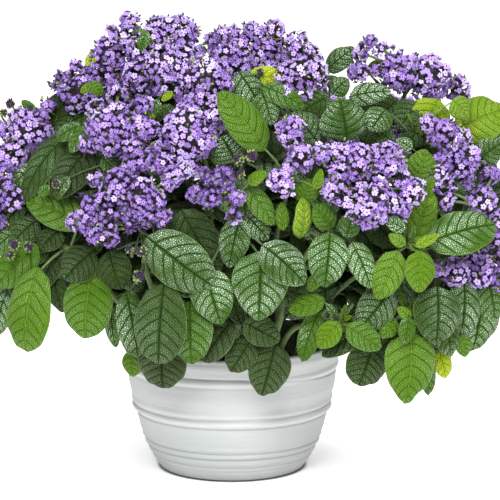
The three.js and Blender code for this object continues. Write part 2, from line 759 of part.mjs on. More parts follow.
// Tries each place in turn and grows the leaf at the first one that is clear of everything else
function growLeaf(places) {
  for (const place of places) {
    for (const choice of rootsFor(place.base, blade.longestStalk)) {
      const leaf = { ...place, root: choice.place };
      const name = choice.shoot.name;
      const start = Math.min(blade.latestStart, blade.shortStalk / choice.distance);
      const blocked = crosses(name, leafSolid(leaf, clearance, 0), leafSolid(leaf, clearance, start));
      if (!blocked && joinTo(name, leafSolid(leaf, 0, 0))) {
        keep(name, leafSolid(leaf, 0, 0), leafSolid(leaf, 0, start));
        choice.shoot.used.add(choice.step);
        return true;
      }
    }
  }
  return false;
}

// A front leaf is tried at several distances in front of the pot's axis, and faces forwards and outwards
const outwardSteps = [0, -4, 4, -8, 8, -12, -16, 12, -20, -24];
const frontFacing = new THREE.Vector3(0, -1, 0.35);
const facingSpread = 0.6;

function frontLeafPlaces([baseAcross, baseUp, baseOut, tipAcross, tipUp, tipOut, width, turn]) {
  return outwardSteps.map((step) => {
    const base = seen(baseAcross, baseUp, baseOut + step);
    const tip = seen(tipAcross, tipUp, tipOut + step);
    const outward = base.clone().sub(mouldCore).normalize();
    return { base, tip, width, turn, facing: frontFacing.clone().addScaledVector(outward, facingSpread) };
  });
}

// Leaves up the stems, each turned from the last by the golden angle, where the front ones do not show
const goldenAngle = Math.PI * (3 - Math.sqrt(5));
const swings = [0, 0.7, -0.7, 1.4, -1.4, 2.2, -2.2];
const shrinks = [1, 0.8, 0.62];

function stemLeafPlaces(shoot, share, angle) {
  const length = draw(sideLeaf.shortest, sideLeaf.longest);
  const width = length * draw(sideLeaf.narrowest, sideLeaf.broadest);
  const start = stemPlace(shoot, share);
  const [first, second] = tangents(shoot.path.getTangent(share));
  const outward = start.clone().sub(mouldCore).setZ(0).normalize();
  const places = [];
  for (const shrink of shrinks) {
    for (const swing of swings) {
      const along = first.clone().multiplyScalar(Math.cos(angle + swing))
        .addScaledVector(second, Math.sin(angle + swing))
        .addScaledVector(outward, sideLeaf.outward).normalize();
      const base = start.clone().addScaledVector(along, sideLeaf.stalk);
      along.z -= sideLeaf.sag;
      const tip = base.clone().addScaledVector(along.normalize(), length * shrink);
      const facing = outward.clone().multiplyScalar(sideLeaf.tilt).add(new THREE.Vector3(0, 0, 1));
      places.push({ base, tip, width: width * shrink, turn: 0, facing });
    }
  }
  return places.filter((place) => inMound(place.tip));
}

function inMound(point) {
  const arm = point.clone().sub(mound.middle);
  const depth = arm.y > 0 ? mound.back : mound.front;
  return point.z > lowestLeaf && Math.hypot(arm.x / mound.across, arm.y / depth, arm.z / mound.up) < 1;
}

function growUp(shoot, count) {
  for (let i = 0; i < count; i++) {
    const share = sideLeaf.highest - sideLeaf.span * (i + 0.5) / count;
    growLeaf(stemLeafPlaces(shoot, share, i * goldenAngle + draw(0, sideLeaf.wobble)));
  }
}

// A bud cluster is a stalk whose end thickens and curls over
function budCurl([across, up, out, hand, size]) {
  const start = seen(across, up, out);
  const { shoot, step, place: root } = rootsFor(start, bud.longestStalk)[0];
  const level = rightward.clone().multiplyScalar(hand);
  const depth = new THREE.Vector3(0, 1, 0);
  const rings = [root, start].map((place) => ringPoints(place, level, depth, bud.stalk, bud.sides));
  const middle = start.clone().addScaledVector(level, size * bud.opening);
  middle.z += size * bud.opening;
  for (let i = 1; i <= bud.rings; i++) {
    const share = i / bud.rings;
    const angle = share * bud.curl;
    const arm = level.clone().multiplyScalar(-Math.cos(angle)).add(new THREE.Vector3(0, 0, Math.sin(angle)));
    const place = middle.clone().addScaledVector(arm, size * (bud.reach - bud.closing * share));
    const thickness = bud.thickness + bud.swelling * Math.sin(share * Math.PI);
    rings.push(ringPoints(place, arm, depth, size * thickness, bud.sides));
  }
  const solid = loft(rings);
  if (!crosses(shoot.name, solid, solid) && joinTo(shoot.name, solid)) {
    keep(shoot.name, solid, solid);
    shoot.used.add(step);
  }
}

const heliotrope = new THREE.Group();

function addPart(name, geometry, look) {
  const part = new THREE.Mesh(geometry, new THREE.MeshStandardMaterial({ ...look, flatShading: true }));
  part.name = name;
  heliotrope.add(part);
}

const potGeometry = makePot();
const soilGeometry = makeSoil(shoots.map((shoot) => shoot.foot));
addPart('pot', potGeometry, looks.pot);
addPart('soil', soilGeometry, looks.soil);
for (const [name, geometry] of [['pot', potGeometry], ['soil', soilGeometry]]) {
  const solid = solidOfGeometry(geometry.clone());
  keep(name, solid, solid);
}
for (const plan of heads) {
  const solid = makeHead(plan);
  keep(`bloom_${plan.name}`, solid, solid);
  addPart(`bloom_${plan.name}`, geometryOf(solid), looks.flower);
}
for (const shoot of shoots) {
  keep(shoot.name, stemSolid(shoot, 0), stemSolid(shoot, 0));
}
budCurls.forEach(budCurl);
frontLeaves.forEach((row) => growLeaf(frontLeafPlaces(row)));
shoots.forEach((shoot) => growUp(shoot, shoot.leaves));
for (const [name, solid] of grown) {
  addPart(`stem_${name}`, geometryOf(solid), looks.leaf);
}

export default heliotrope;
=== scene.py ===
"""The looks of a potted heliotrope: a glazed thrown pot, its soil, quilted leaves and violet florets.
Shapes are worked out in millimetres, in the same frame as the solids, and become metres in the meshes."""

import math

import bpy
import numpy as np
from mathutils import Matrix, Vector
from mathutils.kdtree import KDTree


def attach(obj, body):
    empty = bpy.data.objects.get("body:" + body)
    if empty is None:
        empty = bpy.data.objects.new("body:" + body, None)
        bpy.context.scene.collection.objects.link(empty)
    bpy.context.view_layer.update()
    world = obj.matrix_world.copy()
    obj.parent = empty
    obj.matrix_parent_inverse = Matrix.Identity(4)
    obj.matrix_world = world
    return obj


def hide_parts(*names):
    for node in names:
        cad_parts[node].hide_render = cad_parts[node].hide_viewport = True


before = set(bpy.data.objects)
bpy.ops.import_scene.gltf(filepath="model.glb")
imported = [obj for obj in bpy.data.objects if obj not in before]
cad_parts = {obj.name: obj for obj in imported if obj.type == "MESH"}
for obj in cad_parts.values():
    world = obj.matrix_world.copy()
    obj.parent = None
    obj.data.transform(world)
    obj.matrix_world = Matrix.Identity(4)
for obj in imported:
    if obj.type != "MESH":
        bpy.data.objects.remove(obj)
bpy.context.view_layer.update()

MM = 0.001
UP = np.array((0.0, 0.0, 1.0))
chance = np.random.default_rng(11)


# Places and directions

def unit(vector):
    return vector / np.linalg.norm(vector)


def point(*values):
    return np.array(values, dtype=float)


PICTURE_SIZE = 500
SHEET_STEP = 0.7  # millimetres of the middle sheet in one step of the picture
SENSOR_WIDTH = 36
EYE = point(12.6, -2357, 609)
AIM = point(12.6, 0, 154)
RIGHT = point(1, 0, 0)
SHEET_UP = np.cross(RIGHT, unit(AIM - EYE))


def seen(across, up, out):
    """The place seen at across and up on the view's middle sheet, out in front of the pot's axis."""
    on_sheet = AIM + across * RIGHT + up * SHEET_UP
    share = (-out - EYE[1]) / (on_sheet[1] - EYE[1])
    return EYE + share * (on_sheet - EYE)


def tangents(axis):
    """Two directions square to the axis, the first of them level."""
    first = np.cross(UP, axis)
    if np.linalg.norm(first) < 0.05:
        first = RIGHT
    first = unit(first)
    return first, np.cross(axis, first)


def turned(vector, axis, angle):
    return np.array(Matrix.Rotation(angle, 3, Vector(axis)) @ Vector(vector))


def any_spin(lean=0):
    """A drawn turn about a drawn axis, which may lean one way."""
    return np.array(Matrix.Rotation(chance.uniform(0, 6.28), 3, Vector(unit(chance.normal(size=3) + lean))))


def arched(start, middle, end, share):
    """The places at these shares of a curve that leaves start towards middle and comes to end."""
    return (1 - share) ** 2 * start + 2 * share * (1 - share) * middle + share ** 2 * end


def golden_turn(i):
    """The turn of the i-th leaf or floret, as in a spiral where no two stand above each other."""
    return i * math.pi * (3 - math.sqrt(5))


def golden_directions(count):
    """This many directions, spread evenly over a ball."""
    i = np.arange(count)
    turn = golden_turn(i)
    z = 1 - 2 * (i + 0.5) / count
    level = np.sqrt(1 - z * z)
    return np.stack((level * np.cos(turn), level * np.sin(turn), z), axis=1)


class Draws:
    """The seeded draws that set the solids' back heads and side leaves."""

    FACTOR, STEP, RANGE = 1664525, 1013904223, 4294967296

    def __init__(self, seed):
        self.seed = seed

    def between(self, low, high):
        self.seed = (self.seed * self.FACTOR + self.STEP) % self.RANGE
        return low + (high - low) * self.seed / self.RANGE


draws = Draws(20)


# Gathered shapes

def write_vectors(mesh, name, values):
    layer = mesh.attributes.new(name, "FLOAT_VECTOR", "POINT")
    layer.data.foreach_set("vector", values.astype(np.float32).ravel())


def read_points(mesh):
    points = np.empty(len(mesh.vertices) * 3)
    mesh.vertices.foreach_get("co", points)
    return points.reshape(-1, 3)


class Sheaf:
    """Triangles gathered for one piece, with two vectors at each point for its materials to read."""

    def __init__(self):
        self.points, self.faces, self.looks, self.smooth, self.marks, self.grains = [], [], [], [], [], []
        self.count = 0

    def add(self, points, faces, look, mark, grain=(0, 0, 0), smooth=True):
        size = (len(points), 3)
        self.points.append(points)
        self.faces.append(np.asarray(faces) + self.count)
        self.looks.append(np.full(len(faces), look))
        self.smooth.append(np.full(len(faces), smooth))
        self.marks.append(np.broadcast_to(mark, size))
        self.grains.append(np.broadcast_to(grain, size))
        self.count += len(points)

    def make(self, name, materials):
        points = np.concatenate(self.points) * MM
        faces = np.concatenate(self.faces)
        mesh = bpy.data.meshes.new(name)
        mesh.vertices.add(len(points))
        mesh.vertices.foreach_set("co", points.ravel())
        mesh.loops.add(faces.size)
        mesh.loops.foreach_set("vertex_index", faces.ravel())
        mesh.polygons.add(len(faces))
        mesh.polygons.foreach_set("loop_start", np.arange(0, faces.size, 3))
        write_vectors(mesh, "mark", np.concatenate(self.marks))
        write_vectors(mesh, "grain", np.concatenate(self.grains))
        for material in materials:
            mesh.materials.append(material)
        mesh.polygons.foreach_set("material_index", np.concatenate(self.looks))
        mesh.polygons.foreach_set("use_smooth", np.concatenate(self.smooth))
        mesh.update(calc_edges=True)
        piece = bpy.data.objects.new(name, mesh)
        bpy.context.scene.collection.objects.link(piece)
        return piece


def grid_faces(rows, columns, start=0, flip=False):
    """Two triangles for each square of a grid, as seen from the side where its columns run to the left."""
    i, j = np.meshgrid(np.arange(rows - 1), np.arange(columns - 1), indexing="ij")
    a = (start + i * columns + j).ravel()
    b, c, d = a + 1, a + columns, a + columns + 1
    faces = np.concatenate((np.stack((a, b, c), 1), np.stack((b, d, c), 1)))
    return faces[:, ::-1] if flip else faces


def ring_corners(rows, sides):
    """For each square between rings of points, its first corner and the next one round the ring."""
    i, j = np.meshgrid(np.arange(rows), np.arange(sides), indexing="ij")
    return (i * sides + j).ravel(), (i * sides + (j + 1) % sides).ravel()


def fan(middle, one, other):
    """Triangles from a middle corner to pairs of corners on a ring."""
    return np.stack((np.full(len(one), middle), one, other), 1)


def add_tube(sheaf, path, radii, look, tone, sides=6):
    """A round stalk along a path, closed at both ends."""
    path = np.asarray(path, dtype=float)
    count = len(path)
    radii = np.broadcast_to(radii, count)
    along = np.gradient(path, axis=0)
    along /= np.linalg.norm(along, axis=1)[:, None]
    first = tangents(along[0])[0]
    angles = np.arange(sides) * 2 * math.pi / sides
    rings = []
    for place, forward, radius in zip(path, along, radii):
        first = unit(first - first.dot(forward) * forward)
        second = np.cross(forward, first)
        rings.append(place + radius * (np.outer(np.cos(angles), first) + np.outer(np.sin(angles), second)))
    points = np.concatenate(rings + [path[:1], path[-1:]])
    a, b = ring_corners(count - 1, sides)
    j, k = ring_corners(1, sides)
    bottom, top = count * sides, count * sides + 1
    last = (count - 1) * sides
    faces = np.concatenate((np.stack((a, b, b + sides), 1), np.stack((a, b + sides, a + sides), 1),
                            fan(bottom, k, j), fan(top, last + j, last + k)))
    sheaf.add(points, faces, look, (0, 0, tone))


def mesh_arrays(piece):
    """The points and triangles of a piece, which is then removed."""
    mesh = piece.data
    mesh.calc_loop_triangles()
    points = read_points(mesh)
    faces = np.empty(len(mesh.loop_triangles) * 3, dtype=int)
    mesh.loop_triangles.foreach_get("vertices", faces)
    bpy.data.objects.remove(piece)
    return points, faces.reshape(-1, 3)


def deselect():
    bpy.ops.object.select_all(action="DESELECT")


deselect()
bpy.ops.mesh.primitive_uv_sphere_add(segments=5, ring_count=4, radius=1)
BEAD = mesh_arrays(bpy.context.object)
bpy.ops.mesh.primitive_ico_sphere_add(subdivisions=3, radius=1)
BALL = mesh_arrays(bpy.context.object)
bpy.ops.mesh.primitive_ico_sphere_add(subdivisions=1, radius=1)
CRUMB = mesh_arrays(bpy.context.object)


def add_bead(sheaf, middle, axis, half_length, half_width, look, tone):
    """A rounded bud: a low sphere stretched along its axis, fuller towards its base."""
    points, faces = BEAD
    first, second = tangents(axis)
    fullness = half_width * (1 - 0.22 * points[:, 2:])
    placed = (middle + points[:, :1] * fullness * first + points[:, 1:2] * fullness * second
              + points[:, 2:] * half_length * axis)
    sheaf.add(placed, faces, look, (tone, 0, 0))


# Heads and shoots, as the solids have them

FRONT_HEADS = {
    "crown_left": ((-84, 158, 42, 10.5), (-69, 143, 48, 17), (-44, 153, 34, 17), (-57, 125, 58, 22)),
    "shoulder_left": ((-97, 132, 44, 18), (-120, 113, 34, 17), (-132, 120, 28, 9)),
    "mass_left": ((-32, 118, 72, 20), (-42, 81, 96, 25), (-25, 97, 88, 13)),
    "middle_left": ((-97, 84, 92, 19), (-81, 69, 98, 13), (-106, 97, 84, 11)),
    "side_left": ((-155, 85, 40, 21), (-141, 101, 36, 11), (-168, 63, 44, 14)),
    "edge_left": ((-171, 41, 48, 19), (-175, 21, 52, 12)),
    "low_left": ((-102, 25, 108, 20), (-76, 32, 116, 22), (-90, 43, 108, 16), (-63, 18, 120, 11)),
    "low_middle": ((-28, 37, 128, 13), (-9, 35, 130, 14), (-18, 53, 122, 11)),
    "crown_middle": ((-13, 134, 40, 17), (11, 139, 40, 18), (34, 125, 52, 21), (41, 109, 60, 11)),
    "front_middle": ((28, 84, 108, 12), (35, 65, 114, 17), (21, 50, 120, 10)),
    "front_right": ((70, 60, 108, 20), (95, 61, 98, 19), (110, 41, 100, 16), (82, 30, 116, 19),
                    (60, 42, 116, 12)),
    "crown_right": ((77, 125, 34, 10), (104, 123, 34, 15), (125, 119, 26, 16), (144, 112, 16, 10),
                    (116, 137, 22, 8)),
    "side_right": ((137, 80, 68, 14), (148, 63, 66, 17), (129, 55, 76, 9), (164, 61, 56, 8)),
    "edge_right": ((140, 39, 80, 10), (162, 35, 66, 15), (172, 21, 62, 11), (168, 49, 56, 10)),
    "low_right": ((144, -15, 84, 11), (161, -13, 76, 13), (175, -6, 66, 12)),
}
BACK_HEADS = {
    "back_a": (point(-124, 44, 222), 31), "back_b": (point(-60, 68, 258), 34),
    "back_c": (point(14, 42, 268), 34), "back_d": (point(70, 80, 230), 34),
    "back_e": (point(118, 36, 236), 30), "back_f": (point(-104, 96, 176), 33),
    "back_g": (point(-6, 112, 204), 35), "back_h": (point(140, 76, 168), 33),
}
LEAFY_SHOOTS = {
    "tuft_right": seen(113, 5, 104), "tuft_front": seen(65, -50, 110), "spray_right": seen(112, -44, 100),
    "spray_front": seen(2, -54, 92), "spray_left": seen(-41, -24, 104), "spray_crown": seen(0, 100, 66),
    "spray_top": seen(60, 92, 58), "spray_shoulder": seen(118, 84, 58),
    "spray_back_a": point(-112, 44, 128), "spray_back_b": point(-52, 108, 124),
    "spray_back_c": point(52, 110, 128), "spray_back_d": point(116, 52, 122),
}
LEAF_COUNTS = {
    "crown_left": 3, "shoulder_left": 3, "mass_left": 2, "middle_left": 1, "side_left": 3, "edge_left": 1,
    "low_left": 0, "low_middle": 0, "crown_middle": 4, "front_middle": 1, "front_right": 1, "crown_right": 4,
    "side_right": 2, "edge_right": 2, "low_right": 1, "tuft_right": 0, "tuft_front": 0, "spray_right": 0,
    "spray_front": 0, "spray_left": 0, "spray_crown": 2, "spray_top": 2, "spray_shoulder": 2,
}
WAYPOINTS = {
    "low_left": seen(-74, -8, 98), "low_middle": seen(-6, 8, 98), "edge_left": seen(-126, 0, 74),
    "front_right": seen(50, 10, 98), "low_right": seen(112, 10, 60),
}
MOUND_CORE = point(12, 0, 120)
CLEARANCE = 0.35


class Head:
    """A flower head: rounded lobes round a heart, with an axis that leans outwards and up."""

    def __init__(self, name, lobes, back):
        self.name = name
        self.middles = np.array([middle for middle, _ in lobes])
        self.radii = np.array([radius for _, radius in lobes])
        self.back = back
        weights = self.radii ** 2
        middle = weights @ self.middles / weights.sum()
        self.size = math.sqrt(weights.mean())
        self.axis = unit(unit(middle - MOUND_CORE) + 0.55 * UP)
        self.heart = middle - 0.3 * self.size * self.axis
        self.foot = self.heart - 0.85 * self.size * self.axis
        self.sides = []

    def support(self, direction):
        return np.max((self.middles - self.heart) @ direction + self.radii)


def back_lobes(middle, radius):
    axis = unit(middle - MOUND_CORE)
    first, second = tangents(axis)
    lobes = [(middle + 0.12 * radius * axis, 0.66 * radius)]
    for i in range(4):
        angle = (i + draws.between(-0.2, 0.2)) * math.pi / 2
        spread = radius * draws.between(0.42, 0.56)
        place = middle + spread * (math.cos(angle) * first + math.sin(angle) * second)
        lobes.append((place, radius * draws.between(0.44, 0.54)))
    return lobes


heads = [Head(name, [(seen(*lobe[:3]), lobe[3]) for lobe in lobes], False)
         for name, lobes in FRONT_HEADS.items()]
heads += [Head(name, back_lobes(middle, radius), True) for name, (middle, radius) in BACK_HEADS.items()]

for one in heads:
    for other in heads:
        gap = other.heart - one.heart
        distance = np.linalg.norm(gap)
        if other is not one:
            direction = gap / distance
            own, theirs = one.support(direction), other.support(-direction)
            if own + theirs > distance - 2 * CLEARANCE:
                one.sides.append((direction, distance * own / (own + theirs) - CLEARANCE / 2))

POT = {"foot": 50.5, "rim": 75, "height": 91, "wall": 5, "floor": 6}
SOIL = {"rim": 68, "shoulder": 71, "crown": 74, "slope": 22, "gap": 0.7}


def pot_radius(height):
    share = np.clip(height / POT["height"], 0, 1) ** 0.8
    return POT["foot"] + (POT["rim"] - POT["foot"]) * np.sin(share * math.pi / 2)


SOIL_EDGE = pot_radius(SOIL["rim"]) - POT["wall"] - SOIL["gap"]


def soil_top(radius):
    return np.interp(radius, (0, SOIL_EDGE - SOIL["slope"], SOIL_EDGE),
                     (SOIL["crown"], SOIL["shoulder"], SOIL["rim"]))


FEET = {"inner": 8, "spread": 0.32, "outer": 56, "apart": 9.5, "push": 0.25, "limit": 58, "rounds": 60}
LOWEST_BEND = 62  # millimetres of nearly upright stem over the soil


class Shoot:
    """A stem from the soil to its head or tuft, in the four straight pieces that its solid has."""

    def __init__(self, name, end, lean, head):
        self.name, self.end, self.lean = name, end, lean
        self.through = WAYPOINTS.get(name)
        self.leaves = LEAF_COUNTS.get(name, 5 if head else 6)
        aimed = end if self.through is None else self.through
        reach = math.hypot(aimed[0], aimed[1])
        spread = min(FEET["inner"] + FEET["spread"] * reach, FEET["outer"])
        self.plan = complex(aimed[0], aimed[1]) * spread / reach

    def rise(self):
        self.foot = point(self.plan.real, self.plan.imag, soil_top(abs(self.plan)) + 0.6)
        second = self.end - 0.3 * np.linalg.norm(self.end - self.foot) * self.lean
        first = self.foot + 0.15 * (self.end - self.foot)
        first[2] = self.foot[2] + max(0.3 * (self.end[2] - self.foot[2]), LOWEST_BEND)
        if self.through is not None:
            first = (8 * self.through - self.foot - self.end - 3 * second) / 3
        self.pulls = (self.foot, first, second, self.end)
        self.along = [self.straight(i / 48) for i in range(5, 47)]

    def curve(self, share):
        a, b, c, d = self.pulls
        rest = 1 - share
        return rest ** 3 * a + 3 * rest ** 2 * share * b + 3 * rest * share ** 2 * c + share ** 3 * d

    def forward(self, share):
        a, b, c, d = self.pulls
        rest = 1 - share
        return unit(rest ** 2 * (b - a) + 2 * rest * share * (c - b) + share ** 2 * (d - c))

    def straight(self, share):
        step = min(int(share * 4), 3)
        start, end = self.curve(step / 4), self.curve((step + 1) / 4)
        return start + (share * 4 - step) * (end - start)

    def nearest(self, place):
        return min(self.along, key=lambda spot: np.linalg.norm(spot - place))


shoots = [Shoot(head.name, head.foot - CLEARANCE * head.axis, head.axis, head) for head in heads]
shoots += [Shoot(name, end, unit(unit(point(end[0], end[1], 0)) + 0.6 * UP), None)
           for name, end in LEAFY_SHOOTS.items()]
for _ in range(FEET["rounds"]):
    for one in shoots:
        for other in shoots:
            apart = one.plan - other.plan
            if one is not other and abs(apart) < FEET["apart"]:
                one.plan += apart * FEET["push"] * (FEET["apart"] - abs(apart)) / abs(apart)
        one.plan *= min(1, FEET["limit"] / abs(one.plan))
for one in shoots:
    one.rise()
shoot_named = {shoot.name: shoot for shoot in shoots}


# A leaf with a solid of its own ends in a corner of its stem's solid, which tells where it found room

def stem_corners():
    corners = [(node, vertex.co) for node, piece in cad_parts.items() if node.startswith("stem_")
               for vertex in piece.data.vertices]
    tree = KDTree(len(corners))
    for i, (_, place) in enumerate(corners):
        tree.insert(place, i)
    tree.balance()
    return corners, tree


corners, corner_tree = stem_corners()
SAME_PLACE = 3e-5  # metres


def owner_of(tip):
    """The shoot whose solid has a corner at this tip, or none."""
    _, index, distance = corner_tree.find(Vector(tip * MM))
    return shoot_named[corners[index][0].removeprefix("stem_")] if distance < SAME_PLACE else None


# Leaves seen from the front: base (across, up, out), tip (across, up, out), width, turn in degrees,
# tone from 0, dark grey green, to 1, fresh yellow green, and for some the bluntness of the tip.
# The tone holds the leaf's own colour and painted light and shade too: leaves lit through from behind are set
# lighter, leaves in shade darker
FRONT_LEAVES = (
    (-60, -22, 124, -64, -80, 126, 33, 0, 0.15, 1.0), (8, 0, 124, 6, -50, 128, 35, 0, 0.38, -0.4),
    (-73, 10, 120, -24, -27, 130, 33, 10, 0.24, 0.3), (-32, -13, 122, -20, -53, 128, 27, 0, 0.38, -0.4),
    (113, -57, 108, 109, -109, 110, 34, 0, 0.62, -1.2), (56, 13, 124, 52, -27, 130, 25, 0, 0.4),
    (8, 4, 126, 39, -24, 132, 26, -10, 0.3), (-42, -35, 116, -41, -81, 118, 29, 0, 0.5),
    (-111, -16, 96, -115, -62, 104, 33, 0, 0.57, 0.7), (-148, -11, 84, -158, -72, 88, 30, 0, 0.61, 1.2),
    (131, -25, 104, 130, -67, 110, 32, 0, 0.2, -0.4), (160, -24, 92, 156, -72, 96, 31, 0, 0.4),
    (123, 4, 104, 172, 18, 92, 30, -20, 0.46, 1.0), (112, 4, 108, 126, 44, 108, 22, 0, 0.66),
    (104, 0, 118, 89, -35, 124, 20, 0, 0.65), (119, 0, 112, 118, -30, 118, 20, 0, 0.68),
    (99, -27, 112, 76, -56, 116, 24, 0, 0.2), (18, -65, 100, 8, -103, 102, 27, 0, 0.05),
    (-49, 29, 112, -22, -18, 118, 26, 0, 0.05), (-7, 24, 114, -15, -13, 118, 19, 0, 0.3),
    (-2, 44, 122, 17, 17, 126, 14, 0, 0.55), (71, 6, 120, 85, -27, 124, 17, 0, 0.45),
    (-109, 0, 88, -130, -21, 92, 26, 0, 0.05), (-99, 0, 98, -90, -28, 104, 22, 0, 0.1),
    (-87, -28, 112, -78, -76, 112, 20, -20, 0.25, 1.0), (-61, -57, 106, -61, -97, 100, 31, 0, 0, 1.0),
    (-13, -50, 108, -33, -79, 106, 20, 15, 0.05), (1, -62, 103, -14, -86, 103, 20, 0, 0.05),
    (-5, -50, 110, 21, -64, 106, 19, 0, 0.1), (-60, -13, 118, -41, -33, 122, 15, 0, 0.5),
    (86, -65, 104, 76, -95, 106, 26, 0, 0.1, 1.0), (62, -50, 120, 48, -69, 122, 15, 0, 0.7),
    (67, -53, 120, 92, -69, 120, 17, 0, 0.55), (53, -34, 114, 27, -43, 118, 14, 0, 0.6),
    (48, -43, 108, 36, -79, 106, 15, 20, 0.5), (78, -60, 102, 50, -74, 100, 18, 50, 0.15),
    (-114, 18, 78, -158, 36, 66, 22, 0, 0.56), (-132, 15, 72, -147, 0, 76, 17, 0, 0.05),
    (-134, 1, 76, -146, -28, 78, 17, 0, 0), (-161, -8, 60, -174, -24, 60, 15, 0, 0.5),
    (-168, -23, 55, -177, -60, 55, 18, 0, 0.4), (-122, 85, 58, -160, 35, 66, 26, 15, 0.15),
    (-111, 73, 74, -137, 36, 82, 26, 0, 0), (-104, 65, 96, -93, 55, 100, 10, 0, 0.4),
    (-126, 52, 88, -136, 35, 90, 12, 30, 0.3), (-82, -70, 88, -82, -89, 86, 14, 0, 0.62),
    (-97, -42, 92, -94, -69, 92, 10, 0, 0.4), (-3, 25, 116, 13, 7, 120, 16, 0, 0.25),
    (35, 8, 116, 37, 37, 118, 16, 40, 0.8), (35, 33, 108, 43, 50, 108, 16, 0, 0.6),
    (58, 15, 112, 45, 32, 114, 16, 0, 0.55), (67, 8, 116, 72, 27, 114, 14, 0, 0.3),
    (109, 14, 112, 94, 22, 114, 10, 0, 0.3), (90, -70, 94, 91, -90, 94, 11, 0, 0.2),
    (122, -70, 94, 125, -102, 94, 12, 0, 0.5), (132, -69, 82, 138, -90, 82, 12, 0, 0.95),
    (148, -59, 86, 151, -75, 86, 12, 0, 0.6), (111, -46, 116, 108, -66, 118, 11, 0, 0.5),
    (102, -47, 112, 92, -62, 114, 12, 0, 0.6), (169, -28, 70, 181, -43, 68, 16, 0, 0.75),
    (11, 69, 94, -22, 111, 90, 24, 0, 0.6), (8, 115, 72, 39, 99, 80, 15, 0, 0.5),
    (8, 111, 78, 16, 87, 86, 16, 0, 0.45), (-10, 62, 104, -20, 80, 104, 26, 0, 0.3),
    (48, 75, 88, 28, 96, 84, 22, 0, 0.2), (68, 76, 88, 62, 108, 84, 32, 0, 0.32, -1.0),
    (53, 125, 30, 74, 142, 30, 15, 0, 0.25), (57, 109, 50, 69, 120, 50, 14, 0, 0.4),
    (95, 99, 82, 84, 83, 88, 18, 0, 0.3), (100, 75, 88, 88, 84, 90, 15, 0, 0.25),
    (114, 71, 86, 102, 77, 88, 10, 0, 0.35), (132, 106, 66, 116, 74, 72, 29, 0, 0.85),
    (144, 84, 36, 179, 99, 26, 32, 0, 0.8), (116, 45, 97, 123, 71, 96, 20, 0, 0.6),
    (161, 57, 62, 171, 74, 60, 16, 0, 0.35), (141, 52, 78, 155, 59, 74, 12, 0, 0.3),
)
# Small leaves with no solid of their own, in the same terms
SMALL_LEAVES = (
    (-140, 45, 82, -148, 38, 82, 8, 0, 0.5), (-2, 46, 122, 12, 55, 124, 9, 0, 0.7),
    (23, 13, 118, 22, 34, 116, 9, 0, 0.6), (46, 42, 128, 50, 57, 130, 7, 0, 0.7),
    (48, -17, 118, 41, -29, 118, 9, 0, 0.6), (109, 3, 114, 97, 11, 116, 9, 0, 0.7),
    (115, 2, 114, 133, 11, 112, 7, 0, 0.8), (113, -48, 114, 103, -40, 116, 8, 0, 0.7),
    (122, 42, 94, 129, 51, 94, 8, 0, 0.6), (-8, 125, 62, 8, 99, 70, 22, 0, 0.35),
    (-2, 122, 62, 25, 121, 60, 14, 30, 0.95), (69, 107, 62, 99, 111, 64, 17, 0, 0.3),
    (-148, 22, 60, -168, 2, 62, 22, 0, 0.15), (-142, 6, 64, -162, -12, 66, 20, 0, 0.25),
    (-148, 4, 72, -178, -26, 70, 27, 0, 0.55), (-138, 12, 48, -170, -20, 50, 26, 0, 0.05),
    (-135, 30, 50, -168, 22, 46, 26, 0, 0.05), (-160, -2, 56, -172, -42, 56, 24, 0, 0.25),
    (118, 104, 48, 104, 84, 54, 22, 0, 0.15), (104, 106, 46, 88, 90, 50, 20, 0, 0.1),
    (124, 92, 56, 108, 72, 60, 20, 0, 0.1), (150, -20, 80, 146, -66, 82, 26, 0, 0.3),
    (166, -20, 70, 171, -52, 70, 24, 0, 0.4), (172, -14, 60, 186, -34, 60, 22, 0, 0.5),
    (96, -44, 94, 98, -80, 94, 22, 0, 0.1), (-64, 106, 80, -71, 91, 84, 10, 0, 0.3),
    (-62, 101, 82, -52, 91, 85, 11, 0, 0.12), (-66, 98, 82, -74, 90, 86, 8, 0, 0.75),
    (-54, 111, 76, -62, 104, 80, 6, 0, 0.85), (-72, 153, 66, -77, 139, 70, 9, 0, 0.4),
    (-70, 151, 66, -80, 154, 64, 6, 40, 0.6), (-108, 137, 50, -115, 129, 52, 8, 0, 0.95),
    (-112, 118, 60, -103, 108, 62, 9, 0, 0.6), (-110, 116, 58, -119, 110, 60, 7, 0, 0.7),
    (-118, 88, 74, -136, 77, 74, 14, 10, 0.42), (-112, 86, 80, -127, 68, 82, 13, 10, 0.5),
    (-150, 60, 54, -168, 42, 54, 16, 0, 0.3), (-150, 96, 42, -160, 105, 36, 7, 0, 0.5),
    (136, 50, 66, 162, 44, 62, 17, 0, 0.2), (56, 108, 62, 36, 96, 64, 18, 0, 0.2),
    (142, 106, 56, 152, 92, 54, 18, 0, 0.75), (158, 62, 54, 177, 76, 50, 19, 0, 0.3),
    (160, 24, 50, 179, 8, 48, 19, 0, 0.4), (-160, 16, 54, -181, -3, 52, 20, 0, 0.45),
    (132, -40, 92, 141, -75, 92, 20, 0, 0.3), (129, -62, 84, 137, -90, 84, 16, 0, 0.93),
    (66, 108, 40, 54, 122, 36, 13, 0, 0.3), (82, 122, 26, 92, 134, 24, 8, 0, 0.85),
    (-158, 34, 50, -174, 12, 52, 15, 0, 0.1), (-148, -6, 58, -170, -12, 58, 14, 0, 0.3),
    (135, -14, 70, 143, -52, 72, 21, 0, 0.15), (141, -18, 60, 128, -46, 62, 19, 0, 0.2),
    (147, -28, 62, 150, -64, 64, 17, 0, 0.1), (152, 10, 58, 140, -16, 60, 17, 0, 0.25),
    (98, -40, 92, 102, -74, 92, 15, 0, 0.15), (120, -48, 88, 130, -74, 88, 15, 0, 0.2),
    (-137, -18, 68, -131, -44, 70, 15, 0, 0.1), (162, 88, 30, 187, 84, 26, 20, 0, 0.35),
    (-14, -30, 96, -6, -52, 96, 15, 0, 0.1), (22, -18, 100, 28, -40, 100, 15, 0, 0.15),
)
